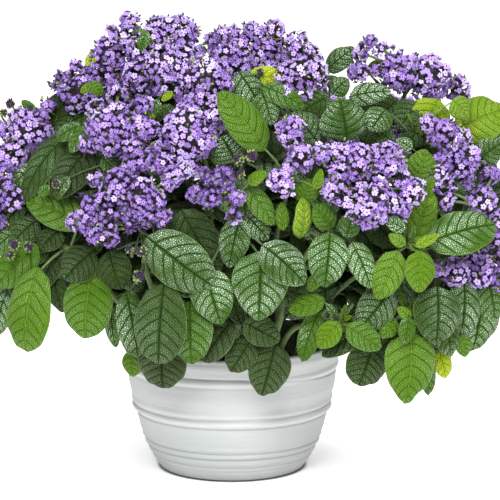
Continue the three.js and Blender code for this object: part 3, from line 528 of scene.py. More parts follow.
# Leaves deep in the shade that close the view through the mound, in the same terms; their low tones are
# painted shade
SHADE_LEAVES = (
    (-88, 114, 40, -58, 88, 40, 32, 0, 0.05), (-60, 112, 44, -84, 84, 44, 28, 0, 0.1),
    (-96, 98, 46, -68, 74, 46, 28, 0, 0.05), (-110, 90, 50, -88, 64, 50, 26, 0, 0),
    (-50, 92, 50, -28, 60, 50, 28, 0, 0.05), (-122, 50, 40, -152, 26, 40, 28, 0, 0.05),
    (-116, 26, 44, -146, 2, 44, 28, 0, 0.05), (-102, 20, 48, -126, -8, 48, 26, 0, 0),
    (28, 14, 70, 56, -12, 70, 24, 0, 0.05), (54, 60, 60, 82, 36, 60, 26, 0, 0.05),
    (130, 58, 30, 166, 36, 30, 34, 0, 0.1), (136, 26, 40, 172, 4, 40, 30, 0, 0.1),
    (110, 4, 50, 134, -24, 50, 26, 0, 0), (118, -20, 52, 136, -50, 52, 22, 0, 0.05),
    (-68, 154, 20, -36, 134, 20, 24, 0, 0.1), (-118, 108, 26, -148, 88, 26, 26, 0, 0.1),
    (-110, 98, 36, -136, 80, 40, 24, 0, 0.2), (-80, 86, 50, -54, 66, 50, 24, 0, 0),
    (82, 24, 70, 102, 2, 70, 22, 0, 0.05), (148, -12, 40, 172, -36, 40, 26, 0, 0.1),
    (116, -26, 56, 134, -54, 56, 20, 0, 0.05), (-170, 76, 18, -148, 54, 18, 24, 0, 0.1),
    (172, 62, 20, 150, 36, 20, 28, 0, 0.1), (112, 82, 36, 142, 58, 36, 28, 0, 0.1),
    (70, 110, 28, 100, 90, 28, 26, 0, 0.1), (184, 46, 20, 162, 20, 20, 26, 0, 0.15),
    (92, -28, 60, 122, -68, 60, 28, 0, 0.1), (96, 8, 50, 112, -22, 50, 24, 0, 0.05),
    (38, 70, 54, 62, 40, 54, 30, 0, 0.05), (-138, 32, 40, -156, 0, 40, 26, 0, 0.05),
    (-126, 116, 30, -100, 90, 30, 24, 0, 0.1), (78, 96, 40, 96, 70, 40, 24, 0, 0.05),
    (98, 66, 60, 116, 40, 60, 24, 0, 0.05), (148, 88, 24, 164, 60, 24, 24, 0, 0.1),
    (-152, 48, 20, -172, 20, 20, 26, 0, 0.1), (-64, 120, 34, -46, 90, 34, 24, 0, 0.05),
    (140, 44, 40, 158, 22, 40, 22, 0, 0.05), (-60, 10, 60, -36, -16, 60, 26, 0, 0),
    (150, 14, 34, 178, -8, 34, 24, 0, 0.1),
)
# Bud clusters: where the stalk opens out (across, up, out), the side it leans to, and its size
BUD_CLUSTERS = (
    (-74, -4, 126, -1, 8), (-80, -21, 124, 1, 8), (-83, -2, 124, -1, 6), (-163, 1, 84, -1, 7),
    (-157, 0, 86, 1, 7), (-166, -6, 84, -1, 6), (-134, 44, 94, -1, 6), (-6, 60, 124, -1, 8),
    (-1, 63, 124, 1, 8), (-5, 51, 126, -1, 6), (5, 122, 66, 1, 6), (-166, 100, 30, -1, 7),
    (-174, 94, 32, 1, 6), (78, 134, 36, 1, 5),
)

LEAF, STALK, BUD = 0, 1, 2
FRONT_FACING = point(0, -1, 0.35)


# How a leaf broadens from its base and narrows to its tip, and the share of its length where it is broadest
BROADEN, NARROW, BROADEST, PAST_BROADEST = 0.52, 0.66, 0.441, 0.559


class Blade:
    """The rows and columns of a leaf's skin, shared by all leaves of the same fineness."""

    def __init__(self, veins, rows_per_vein, columns):
        self.rows = veins * rows_per_vein + rows_per_vein - 1
        share = np.arange(1, self.rows + 1) / (self.rows + 1)
        self.veins = share * (veins + 1)
        edge = np.linspace(-1, 1, columns)
        across = np.sign(edge) * (1 - (1 - np.abs(edge)) ** 1.25)
        self.columns = columns
        u, t = np.meshgrid(self.veins, across, indexing="ij")
        r = np.repeat(share[:, None], columns, axis=1)
        side = np.abs(t)
        self.u, self.t, self.side = u, t, side
        self.along = r + 0.92 * r ** 0.7 * (1 - r) * (0.42 * side + 0.58 * side ** 2)
        shape = self.along ** BROADEN * (1 - self.along) ** NARROW
        self.breadth = shape / (BROADEST ** BROADEN * PAST_BROADEST ** NARROW)
        between = np.abs(np.sin(np.pi * (u % 1))) ** 0.7
        self.quilt = between * side ** 0.35 * (1 - side ** 4) * (4 * r * (1 - r)) ** 0.3
        self.groove = np.exp(-(side / 0.09) ** 2) * (1 - r) ** 0.4
        self.faces = self.skin()

    def skin(self):
        rows, columns = self.rows, self.columns
        size = rows * columns
        base, tip = 2 * size, 2 * size + 1
        j = np.arange(columns - 1)
        last = size - columns
        i = np.arange(rows - 1) * columns
        right = i + columns - 1

        def rim(a, b, c):
            return np.stack(np.broadcast_arrays(a, b, c), -1)

        parts = [
            grid_faces(rows, columns), grid_faces(rows, columns, size, flip=True),
            rim(i, i + columns, i + size), rim(i + columns, i + columns + size, i + size),
            rim(right, right + size, right + columns),
            rim(right + columns, right + size, right + columns + size),
            rim(j + 1, j, base), rim(j + size, j + 1 + size, base),
            rim(base, 0, size), rim(base, size + columns - 1, columns - 1),
            rim(last + j, last + j + 1, tip), rim(last + j + 1 + size, last + j + size, tip),
            rim(last, tip, last + size), rim(last + columns - 1, last + columns - 1 + size, tip),
        ]
        return np.concatenate([np.atleast_2d(part) for part in parts])


BLADES = {
    "broad": Blade(6, 5, 17), "middling": Blade(5, 5, 13), "small": Blade(4, 4, 9), "plain": Blade(6, 2, 9),
    "hidden": Blade(3, 2, 5),
}


def add_leaf(sheaf, base, tip, width, turn, facing, tone, kind, curl, turned_over=0.0, bluntness=0.0):
    """A quilted leaf on an arched spine: sunk veins that sweep forwards, a thin edge and a tip that curls."""
    form = BLADES[kind]
    length = np.linalg.norm(tip - base)
    along = (tip - base) / length
    side = turned(unit(np.cross(along, facing)), along, math.radians(turn))
    normal = np.cross(side, along)
    bend = (base + tip) / 2 + 0.2 * length * normal
    a = form.along[..., None]
    spine = arched(base, bend, tip, a)
    forward = (1 - a) * (bend - base) + a * (tip - bend)
    forward /= np.linalg.norm(forward, axis=2)[..., None]
    outward = np.cross(np.broadcast_to(side, forward.shape), forward)
    half = width / 2
    breadth = form.breadth * (1.04 - form.along) ** (-0.2 * bluntness) * 0.9 ** bluntness
    phase, sway = chance.uniform(0, 2 * math.pi), chance.uniform(0.4, 1)
    wave = np.sin(form.u * 2.1 + phase + 1.2 * np.sign(form.t)) * form.side ** 3 * 0.075 * half * sway
    lift = half * breadth * (0.3 * form.side - 0.46 * form.side ** 2)
    lift += (0.03 * width + 0.25) * form.quilt + wave - (0.3 + 0.012 * width) * form.groove
    lift -= curl * length * np.clip((form.along - 0.62) / 0.38, 0, 1) ** 2
    lift += turned_over * half * form.side ** 2 * np.clip(form.along, 0, 1)
    reach = half * breadth * form.t * (1 + 0.015 * np.sin(form.u * 1.7 + phase))
    top = spine + reach[..., None] * side + lift[..., None] * outward
    thickness = 0.3 + 0.5 * form.groove
    bottom = top - thickness[..., None] * outward
    tip_point = tip - curl * length * outward[-1, form.columns // 2]
    points = np.concatenate((top.reshape(-1, 3), bottom.reshape(-1, 3), base[None], tip_point[None]))
    flat = np.stack((form.u, form.t, np.full_like(form.u, tone)), -1).reshape(-1, 3)
    ends = ((0, 0, tone), (form.veins[-1], 0, tone))
    marks = np.concatenate((flat, flat, ends))
    run = np.stack((form.along * length, reach, np.zeros_like(reach)), -1).reshape(-1, 3)
    shift = (chance.uniform(0, 400), 0, 0)
    grains = np.concatenate((run, run + (0, 0, 1), ((0, 0, 0), (length, 0, 0)))) + shift
    sheaf.add(points, form.faces, LEAF, marks, grains)


def add_petiole(sheaf, root, base, tip, radius, tone):
    """The leaf's stalk: it leaves the stem, arches up a little and runs into the midrib."""
    into = base + 0.1 * (tip - base)
    length = np.linalg.norm(into - root)
    middle = (root + into) / 2 + UP * 0.12 * length
    share = np.linspace(0, 1, 5)[:, None]
    add_tube(sheaf, arched(root, middle, into, share), np.linspace(radius, radius * 0.55, 5), STALK, tone)


FRONT_CURLS, SIDE_CURLS = (0.0, 0.06), (0.03, 0.12)
FRONT_WIDENING = 1.07
BROAD_FROM, MIDDLING_FROM, SMALL_BELOW = 24, 15, 18
# How far out or in a front leaf's solid was moved until it found room, in the order tried
DEPTH_STEPS = (0, -4, 4, -8, 8, -12, -16, 12, -20, -24)
# Side leaves: lengths, widths as a share of the length, and how the solids were shrunk and swung to find room
SIDE_LENGTHS, SIDE_BREADTHS = (46, 62), (0.52, 0.6)
SHRINKINGS, SWINGS = (1, 0.8, 0.62), (0, 0.7, -0.7, 1.4, -1.4, 2.2, -2.2)
HIGHEST_LEAF, LEAFY_SPAN = 0.94, 0.5
foliage = {shoot.name: Sheaf() for shoot in shoots}


def grow(shoot, base, tip, width, turn, facing, tone, kind, curls, bluntness=0.0):
    """One leaf and its petiole, on the shoot that bears it."""
    sheaf = foliage[shoot.name]
    curl = chance.uniform(*curls)
    add_leaf(sheaf, base, tip, width, turn, facing, tone, kind, curl, bluntness=bluntness)
    add_petiole(sheaf, shoot.nearest(base), base, tip, min(1.15, 0.5 + width * 0.025), 0.9 * tone)


def front_facing(base):
    return FRONT_FACING + 0.6 * unit(base - MOUND_CORE)


def grow_front_leaf(row):
    """A leaf at the first of the depths where its solid found room."""
    base_place, tip_place, (width, turn, tone), bluntness = row[:3], row[3:6], row[6:9], sum(row[9:])
    width = FRONT_WIDENING * width
    kind = "broad" if width >= BROAD_FROM else "middling" if width >= MIDDLING_FROM else "small"
    for step in DEPTH_STEPS:
        base = seen(*base_place[:2], base_place[2] + step)
        tip = seen(*tip_place[:2], tip_place[2] + step)
        shoot = owner_of(tip)
        if shoot:
            grow(shoot, base, tip, width, turn, front_facing(base), tone, kind, FRONT_CURLS, bluntness)
            break


def nearest_shoot(place):
    return min(shoots, key=lambda one: np.linalg.norm(one.nearest(place) - place))


def grow_small_leaf(row, kind):
    base, tip = seen(*row[:3]), seen(*row[3:6])
    width, turn, tone = row[6:]
    grow(nearest_shoot(base), base, tip, width, turn, front_facing(base), tone, kind, FRONT_CURLS)


def side_leaf_places(shoot, share, angle):
    """The places that a side leaf's solid was tried at: its base, tip, width and facing."""
    length = draws.between(*SIDE_LENGTHS)
    width = length * draws.between(*SIDE_BREADTHS)
    start = shoot.straight(share)
    first, second = tangents(shoot.forward(share))
    outward = start - MOUND_CORE
    outward[2] = 0
    outward = unit(outward)
    for shrink in SHRINKINGS:
        for swing in SWINGS:
            way = unit(math.cos(angle + swing) * first + math.sin(angle + swing) * second + 0.5 * outward)
            base = start + 7 * way
            tip = base + length * shrink * unit(way - 0.45 * UP)
            yield base, tip, width * shrink, 0.7 * outward + UP


def hangs_in_view(tip):
    """Whether a side leaf's tip is low beside the pot, where the view is clear."""
    return tip[2] < 92 and tip[1] < 15 and abs(tip[0]) > 100


def grow_side_leaves(shoot):
    """The leaves up a stem, each at the first place where the solids have its tip."""
    for i in range(shoot.leaves):
        share = HIGHEST_LEAF - LEAFY_SPAN * (i + 0.5) / shoot.leaves
        angle = golden_turn(i) + draws.between(0, 0.6)
        for base, tip, width, facing in side_leaf_places(shoot, share, angle):
            owner = owner_of(tip)
            if owner:
                if hangs_in_view(tip):
                    tip, width = base + 0.5 * (tip - base), 0.7 * width
                height = np.clip((tip[2] - 90) / 160, 0, 1)
                tone = 0.12 + 0.3 * height + chance.uniform(-0.1, 0.15)
                grow(owner, base, tip, width, 0, facing, tone, "plain", SIDE_CURLS)
                break


for row in FRONT_LEAVES:
    grow_front_leaf(row)
for row in SMALL_LEAVES:
    grow_small_leaf(row, "small" if row[6] < SMALL_BELOW else "middling")
for row in SHADE_LEAVES:
    grow_small_leaf(row, "plain")
for shoot in shoots:
    grow_side_leaves(shoot)


# Young leaves at the ends of the leafy shoots, and leaves that fill the shade inside the mound

MOUND_MIDDLE = point(12, 0, 165)
MOUND_SIDE, MOUND_FRONT, MOUND_BACK, MOUND_HEIGHT = 192, 122, 140, 132
SHADE_FILLERS, BACK_FILLERS = 300, 110
ROSETTE_LEAVES = 7


def grow_rosette(shoot):
    """Young leaves round the end of a leafy shoot, longer and lower the further out they stand."""
    first, second = tangents(shoot.lean)
    for i in range(ROSETTE_LEAVES):
        angle = golden_turn(i) + chance.uniform(0, 0.5)
        way = math.cos(angle) * first + math.sin(angle) * second
        base = shoot.end - (0.8 * i) * shoot.lean + 0.8 * way
        length = 7 + 1.9 * i
        tip = base + length * unit(way + (1.5 - 0.17 * i) * shoot.lean)
        tone = chance.uniform(0.6, 0.85) - 0.03 * i
        facing = shoot.lean - 0.4 * way
        add_leaf(foliage[shoot.name], base, tip, 0.46 * length, 0, facing, tone, "plain", 0.08, 0.3)


def inside_mound(place, share):
    """Whether a place is within this share of the mound, an egg shape that is deeper behind than in front."""
    arm = place - MOUND_MIDDLE
    depth = MOUND_BACK if arm[1] > 0 else MOUND_FRONT
    return np.linalg.norm(arm / (MOUND_SIDE, depth, MOUND_HEIGHT)) < share


def within_shade(place):
    """Inside the mound, and out of the view of the pot's far wall between the low leaves."""
    hides_the_gap = -15 < place[0] < 75 and place[1] < 40 and place[2] < 118
    return place[2] > 98 and inside_mound(place, 0.82) and not hides_the_gap


def behind_the_stems(place):
    return place[1] > 12 and 96 < place[2] < 150 and inside_mound(place, 0.8)


def grow_fillers(count, lowest, highest, allowed):
    """Plain leaves at drawn places along the stems, kept where the rule allows both their ends."""
    grown = 0
    while grown < count:
        shoot = shoots[chance.integers(len(shoots))]
        start = shoot.curve(chance.uniform(lowest, highest))
        way = unit(chance.normal(size=3) * (1, 1, 0.5) + 0.6 * unit(start - MOUND_CORE))
        base = start + 6 * way
        length = chance.uniform(28, 46)
        tip = base + length * unit(way - 0.35 * UP)
        if allowed(tip) and allowed(base):
            # Dark tones for these leaves deep inside the mound: painted shade
            tone = chance.uniform(0.0, 0.22)
            facing = unit(start - MOUND_CORE) + 0.8 * UP
            grow(shoot, base, tip, 0.55 * length, 0, facing, tone, "hidden", SIDE_CURLS)
            grown += 1


for name in LEAFY_SHOOTS:
    grow_rosette(shoot_named[name])
grow_fillers(SHADE_FILLERS, 0.42, 0.95, within_shade)
grow_fillers(BACK_FILLERS, 0.12, 0.6, behind_the_stems)


# Stems and bud clusters

BUD_SPOTS = 44
STEM_STEPS, STEM_SIDES = 15, 8
ROOT_DEPTH = 8
STEM_ROOT, STEM_FOOT, STEM_TAPER = 2.2, 2.15, 0.85  # radii under and over the soil, and what the end loses


def grow_stem(shoot):
    share = np.linspace(0, 1, STEM_STEPS)
    path = [shoot.foot - ROOT_DEPTH * UP] + [shoot.curve(each) for each in share]
    radii = np.concatenate(((STEM_ROOT,), STEM_FOOT - STEM_TAPER * share))
    add_tube(foliage[shoot.name], path, radii, STALK, 0.5, sides=STEM_SIDES)


def grow_bud_cluster(across, up, out, hand, size):
    """Dark buds crowded on a hairy green cup at the end of a stalk."""
    start = seen(across, up, out)
    shoot = nearest_shoot(start)
    sheaf = foliage[shoot.name]
    facing = unit(point(0.5 * hand, -1, 0.45))
    middle = start + 0.4 * size * unit(point(hand, 0, 1.5))
    root = shoot.nearest(start)
    behind = start + point(0, min(16, 0.5 * np.linalg.norm(start - root)), -5)
    path = [root, root + 0.5 * (behind - root) - 1.5 * UP, behind, start, middle - 0.1 * size * facing]
    add_tube(sheaf, path, (0.9, 0.85, 0.8, 0.8, 0.8), STALK, 0.4)
    add_bead(sheaf, middle - 0.12 * size * facing, facing, 0.36 * size, 0.42 * size, BUD, 0.8)
    for way in golden_directions(BUD_SPOTS):
        front = way @ facing
        if front > -0.35:
            lean = unit(way + 0.4 * facing + 0.25 * chance.normal(size=3))
            place = middle + (0.4 + 0.05 * chance.normal()) * size * way
            tone = 0.9 if front < 0.15 or chance.uniform() < 0.12 else 0.04 + 0.1 * chance.uniform()
            add_bead(sheaf, place, lean, 0.17 * size, 0.105 * size, BUD, tone)


for shoot in shoots:
    grow_stem(shoot)
for row in BUD_CLUSTERS:
    grow_bud_cluster(*row)


# Florets: five petals round a sunk throat, closed underneath by a tapering tube

PETALS, CORE, CALYX, BRANCH = 0, 1, 2, 3


def around(radius, degrees, height):
    angle = math.radians(degrees)
    return radius * math.cos(angle), radius * math.sin(angle), height


def floret_form():
    """Points and triangles of one floret with a petal reach of 1: throat, root, notches and petals."""
    points = [(0, 0, -0.4), (0, 0, -1.5)]
    throat, notch, petal = 2, 7, 12
    points += [around(0.22, 36 + 72 * k, -0.02) for k in range(5)]
    points += [around(0.5, 36 + 72 * k, -0.1) for k in range(5)]
    for k in range(5):
        points += [around(0.92, 72 * k - 23, -0.03), around(1.02, 72 * k, 0.02)]
        points += [around(0.92, 72 * k + 23, 0.03)]
    faces = []
    for k in range(5):
        before = (k - 1) % 5
        left, tip, right = petal + 3 * k, petal + 3 * k + 1, petal + 3 * k + 2
        edge = (notch + before, left, tip, right, notch + k)
        faces += [(tip, right, notch + k), (tip, notch + k, throat + k), (tip, throat + k, throat + before),
                  (tip, throat + before, notch + before), (tip, notch + before, left)]
        faces.append((0, throat + before, throat + k))
        faces += [(1, b, a) for a, b in zip(edge, edge[1:])]
    return np.array(points), np.array(faces)


FLORET = floret_form()
HEAD_TONES = {
    "low_middle": 0.12, "mass_left": 0.52, "crown_left": 0.52, "low_left": 0.28, "front_right": 0.48,
    "front_middle": 0.52, "middle_left": 0.42, "side_left": 0.42, "side_right": 0.38, "edge_right": 0.4,
    "crown_right": 0.4, "crown_middle": 0.5, "low_right": 0.4, "edge_left": 0.24, "shoulder_left": 0.24,
}


# Lobes that join up a head where it is one thick mass, given as across, up, out and radius
JOINING_LOBES = {
    "mass_left": ((-58, 64, 98, 13), (-44, 58, 104, 11), (-44, 109, 74, 11), (-56, 118, 70, 10),
                  (-56, 50, 108, 9)),
    "middle_left": ((-113, 73, 86, 9), (-82, 91, 84, 9), (-92, 108, 68, 10), (-80, 62, 98, 11),
                    (-70, 66, 96, 11), (-77, 100, 82, 10), (-74, 85, 90, 11), (-68, 51, 106, 10),
                    (-88, 74, 92, 7)),
    "crown_left": ((-46, 143, 38, 9), (-28, 144, 36, 9), (-98, 148, 46, 12), (-84, 149, 42, 11),
                   (-66, 157, 40, 9), (-56, 153, 38, 13), (-76, 120, 56, 14), (-37, 138, 40, 8),
                   (-47, 159, 36, 8), (-85, 161, 42, 8)),
    "shoulder_left": ((-122, 128, 34, 7), (-106, 112, 44, 10), (-137, 116, 30, 6)),
    "side_left": ((-172, 84, 40, 9), (-160, 94, 40, 8)),
    "crown_middle": ((26, 112, 72, 8), (-6, 127, 48, 10), (-19, 148, 38, 11), (0, 152, 38, 10),
                     (16, 153, 38, 10), (32, 142, 44, 12), (-10, 150, 38, 10)),
    "low_left": ((-108, 9, 112, 8), (-98, 8, 114, 8), (-84, 14, 115, 6), (-54, 51, 108, 9),
                 (-64, 56, 104, 10), (-118, 18, 111, 9), (-58, 24, 116, 6), (-106, 48, 104, 7)),
    "low_middle": ((-31, 52, 126, 7), (-17, 45, 128, 8), (-37, 40, 124, 8), (-12, 24, 130, 6),
                   (-27, 47, 130, 9)),
    "front_middle": ((50, 66, 112, 8), (24, 44, 119, 7)),
    "front_right": ((57, 66, 110, 10), (104, 31, 104, 9), (82, 20, 118, 9), (106, 28, 104, 8)),
    "crown_right": ((84, 144, 34, 9), (79, 136, 34, 8), (92, 140, 32, 7), (147, 119, 18, 7),
                    (101, 135, 30, 8), (92, 111, 38, 8)),
    "low_right": ((131, -13, 88, 7), (140, -19, 84, 8), (166, -16, 72, 10), (173, -22, 68, 8)),
    "side_right": ((148, 79, 62, 8), (128, 86, 68, 9), (128, 61, 74, 8), (138, 49, 76, 7)),
    "edge_right": ((138, 33, 82, 7), (170, 52, 58, 9), (152, 46, 66, 8), (171, 9, 64, 8)),
}
# How much thinner the florets make a lobe than its solid is, by head and lobe
THINNED = {
    "crown_left": (0, 0, 6, 0), "side_left": (3, 3, 0), "edge_left": (2, 3), "low_left": (4, 4, 0, 5),
    "low_middle": (2, 6, 2), "front_middle": (0, 5, 0), "front_right": (2, 3, 3, 3, 0),
    "shoulder_left": (0, 0, 2), "crown_middle": (0, 0, 0, 5), "edge_right": (3, 3, 1, 2),
    "middle_left": (0, 2, 2), "crown_right": (0, 0, -1.5, -1, 4), "side_right": (0, 3, 0, 4),
    "mass_left": (0, 3, 0),
}
# Openings that leaves fill among the florets, given as across, up, out and radius
OPENINGS = ((-60, 102, 80, 8), (-75, 146, 50, 7), (-112, 132, 46, 4))

FRONT_SPACING, BACK_SPACING = 3.95, 5.6
JOINING_PLAY = 7  # how far joining lobes may pass the middle between two heads
FLORET_DEPTH = 2.5
FLORET_REACHES = (1.85, 2.8)
BACK_ENLARGED = 1.45
DOME_SPACING, DOME_RADIUS, DOME_HEIGHT = 12.5, 6.5, 2.0
CORE_DEPTH, CORE_LEAST = 7.4, 0.32  # how far under the lobe's skin, but at least this share of its radius
PLAIN_TONE = 0.45


def fill_out(head):
    """Adds the joining lobes, and a lobe between each two that stand a little apart."""
    head.radii = head.radii - THINNED.get(head.name, 0)
    middles, radii = list(head.middles), list(head.radii)
    for i, (one, one_radius) in enumerate(zip(head.middles, head.radii)):
        for other, other_radius in zip(head.middles[i + 1:], head.radii[i + 1:]):
            gap = np.linalg.norm(one - other)
            if 0.75 * (one_radius + other_radius) < gap < 1.35 * (one_radius + other_radius):
                share = 0.5 + 0.5 * (one_radius - other_radius) / gap
                middles.append(one + share * (other - one))
                radii.append(0.72 * min(one_radius, other_radius))
    head.joined_from = len(middles)
    for across, up, out, radius in JOINING_LOBES.get(head.name, ()):
        middles.append(seen(across, up, out))
        radii.append(radius)
    head.middles, head.radii = np.array(middles), np.array(radii)


def floret_places(head):
    """Places and outward directions over the lobes, clear of the other lobes and the heads beside it."""
    spacing = BACK_SPACING if head.back else FRONT_SPACING
    openings = [(seen(*opening[:3]), opening[3]) for opening in OPENINGS]
    places, ways = [], []
    for i, (middle, radius) in enumerate(zip(head.middles, head.radii)):
        play = JOINING_PLAY if i >= head.joined_from else 0
        count = int(4 * math.pi * radius ** 2 / (0.6 * spacing ** 2))
        for way in golden_directions(count) @ any_spin().T:
            way = unit(way + chance.normal(size=3) * 0.07)
            place = middle + (radius - FLORET_DEPTH) * way
            outward = unit(place - head.heart)
            inside = np.linalg.norm(head.middles - place, axis=1) < head.radii * 0.93 - FLORET_DEPTH
            if outward @ head.axis < -0.8 or way @ outward < -0.3 or way @ head.axis < -0.9 or inside.any():
                continue
            for direction, distance in head.sides:
                over = (place - head.heart) @ direction - distance + 1 - play
                if over > 0:
                    place = place - over * direction
                    way = unit(way + 1.5 * direction)
            if any(np.linalg.norm(place - spot) < size for spot, size in openings):
                continue
            if places and np.min(np.linalg.norm(np.array(places) - place, axis=1)) < 0.75 * spacing:
                continue
            places.append(place)
            ways.append(way)
    return np.array(places), np.array(ways)


def clusters_of(places):
    """The domes florets gather in; for each floret its own, how far it is and how much further the next."""
    middles = []
    for i in chance.permutation(len(places)):
        if all(np.linalg.norm(places[i] - other) > DOME_SPACING for other in middles):
            middles.append(places[i])
    distances = np.linalg.norm(places[:, None] - np.array(middles)[None], axis=2)
    order = np.argsort(distances, axis=1)
    own = order[:, 0]
    each = np.arange(len(places))
    nearest = distances[each, own]
    return np.array(middles), own, nearest, distances[each, order[:, 1]] - nearest


def add_florets(sheaf, places, ways, radii, tones):
    """A floret at each place, with its own spin, cupping, size and tone."""
    points, faces = FLORET
    spins = chance.uniform(0, 2 * math.pi, len(places))
    first = np.array([tangents(way)[0] for way in ways])
    second = np.cross(ways, first)
    right = np.cos(spins)[:, None] * first + np.sin(spins)[:, None] * second
    left = np.cross(ways, right)
    cup = 1 + chance.uniform(-1.6, 1.2, len(places))
    height = points[None, :, 2] * np.where(points[None, :, 2] > -0.2, cup[:, None], 1)
    placed = (places[:, None] + radii[:, None, None] * (
        points[None, :, :1] * right[:, None] + points[None, :, 1:2] * left[:, None]
        + height[..., None] * ways[:, None]))
    count = len(points)
    all_faces = (faces[None] + np.arange(len(places))[:, None, None] * count).reshape(-1, 3)
    marks = np.empty((len(places), count, 3))
    marks[..., :2] = points[None, :, :2]
    marks[..., 2] = tones[:, None]
    grains = np.zeros_like(marks)
    grains[..., 0] = chance.uniform(0, 1, len(places))[:, None]
    # Marks each floret's root, where the painted shade under it is darkest
    grains[:, 1, 1] = 1
    sheaf.add(placed.reshape(-1, 3), all_faces, PETALS, marks.reshape(-1, 3), grains.reshape(-1, 3), False)


def add_core(sheaf, head):
    """Dark balls inside the lobes, pressed flat towards the heads beside it, that close the gaps with painted
    shade.
    """
    points, faces = BALL
    for middle, radius in zip(head.middles, head.radii):
        lumps = 1 + 0.02 * np.sin(points * 7 + chance.uniform(0, 6, 3)).sum(axis=1)
        placed = middle + points * (max(CORE_LEAST * radius, radius - CORE_DEPTH) * lumps)[:, None]
        for direction, distance in head.sides:
            over = np.clip((placed - head.heart) @ direction - distance + 4.5, 0, None)
            placed = placed - over[:, None] * direction
        sheaf.add(placed, faces, CORE, (0, 0, 0))


def add_branches(sheaf, head):
    """Stalks that fork from the head's foot into each lobe."""
    foot = head.foot - CLEARANCE * head.axis
    share = np.linspace(0, 1, 6)[:, None]
    for middle, radius in zip(head.middles, head.radii):
        bend = foot + 0.45 * np.linalg.norm(middle - foot) * head.axis
        end = middle + 0.2 * radius * head.axis
        add_tube(sheaf, arched(foot, bend, end, share), np.linspace(1.4, 0.9, 6), BRANCH, 0.55)


def make_head(head):
    """Florets in small domes, with buds and calyxes between them, over a dark core on forked stalks."""
    sheaf = Sheaf()
    fill_out(head)
    places, ways = floret_places(head)
    middles, own, nearest, border = clusters_of(places)
    cluster_tones = chance.normal(0.06, 0.08, len(middles))
    cluster_lifts = chance.normal(0, 1.0, len(middles))
    dome = DOME_HEIGHT * (1 - (nearest / DOME_RADIUS) ** 2)
    height = dome - 0.8 * np.clip(1 - border / 2, 0, 1) + cluster_lifts[own]
    height = np.clip(height + chance.normal(0, 0.5, len(places)), -1.5, 4)
    drop = (border < 1.2) & (chance.uniform(size=len(places)) < 0.22)
    tilted = ways + 0.08 * (places - middles[own]) + chance.normal(0, 0.4, ways.shape)
    tilted /= np.linalg.norm(tilted, axis=1)[:, None]
    raised = places + height[:, None] * ways
    radii = chance.uniform(*FLORET_REACHES, len(places)) * (BACK_ENLARGED if head.back else 1.0)
    # Sunk florets darker and raised ones lighter is painted shade in the crevices; florets facing up a little
    # lighter is painted light from above
    tones = HEAD_TONES.get(head.name, PLAIN_TONE) + cluster_tones[own] + 0.08 * height + 0.04 * ways[:, 2]
    keep = ~drop
    add_florets(sheaf, raised[keep], tilted[keep], radii[keep], tones[keep])
    for place, way in zip(places[drop], ways[drop]):
        for _ in range(1 if head.back else 2):
            lean = unit(way + chance.normal(0, 0.35, 3))
            spot = place + chance.normal(0, 1.3, 3) - 0.6 * way
            add_bead(sheaf, spot, lean, 1.9, 0.95, CALYX, chance.uniform() ** 1.4)
    for place, way in zip(places[keep], ways[keep]):
        if chance.uniform() < (0.2 if head.back else 0.6):
            lean = unit(way + chance.normal(0, 0.3, 3))
            spot = place + 2.3 * unit(np.cross(way, chance.normal(size=3))) + 0.4 * way
            add_bead(sheaf, spot, lean, 1.3, 0.7, CALYX, chance.uniform() ** 1.5)
    add_core(sheaf, head)
    add_branches(sheaf, head)
    return sheaf


blooms = {head.name: make_head(head) for head in heads}


# Materials

class Value:
    """A value in a material; arithmetic on it adds a step to the recipe."""

    def __init__(self, recipe, socket):
        self.recipe, self.socket = recipe, socket

    def math(self, operation, *others):
        inputs = dict(enumerate((self,) + others))
        return self.recipe.node("Math", {"operation": operation}, inputs)

    def __add__(self, other):
        return self.math("ADD", other)

    __radd__ = __add__

    def __mul__(self, other):
        return self.math("MULTIPLY", other)

    __rmul__ = __mul__

    def __sub__(self, other):
        return self.math("SUBTRACT", other)

    def __rsub__(self, other):
        return self.recipe.node("Math", {"operation": "SUBTRACT"}, {0: other, 1: self})

    def __pow__(self, other):
        return self.math("POWER", other)

    def __abs__(self):
        return self.math("ABSOLUTE")

    def fract(self):
        return self.math("FRACT")

    def between(self, low, high):
        """0 below low, 1 above high, and a smooth step from one to the other."""
        return self.recipe.node("MapRange", {"interpolation_type": "SMOOTHSTEP"},
                                {"Value": self, "From Min": low, "From Max": high})


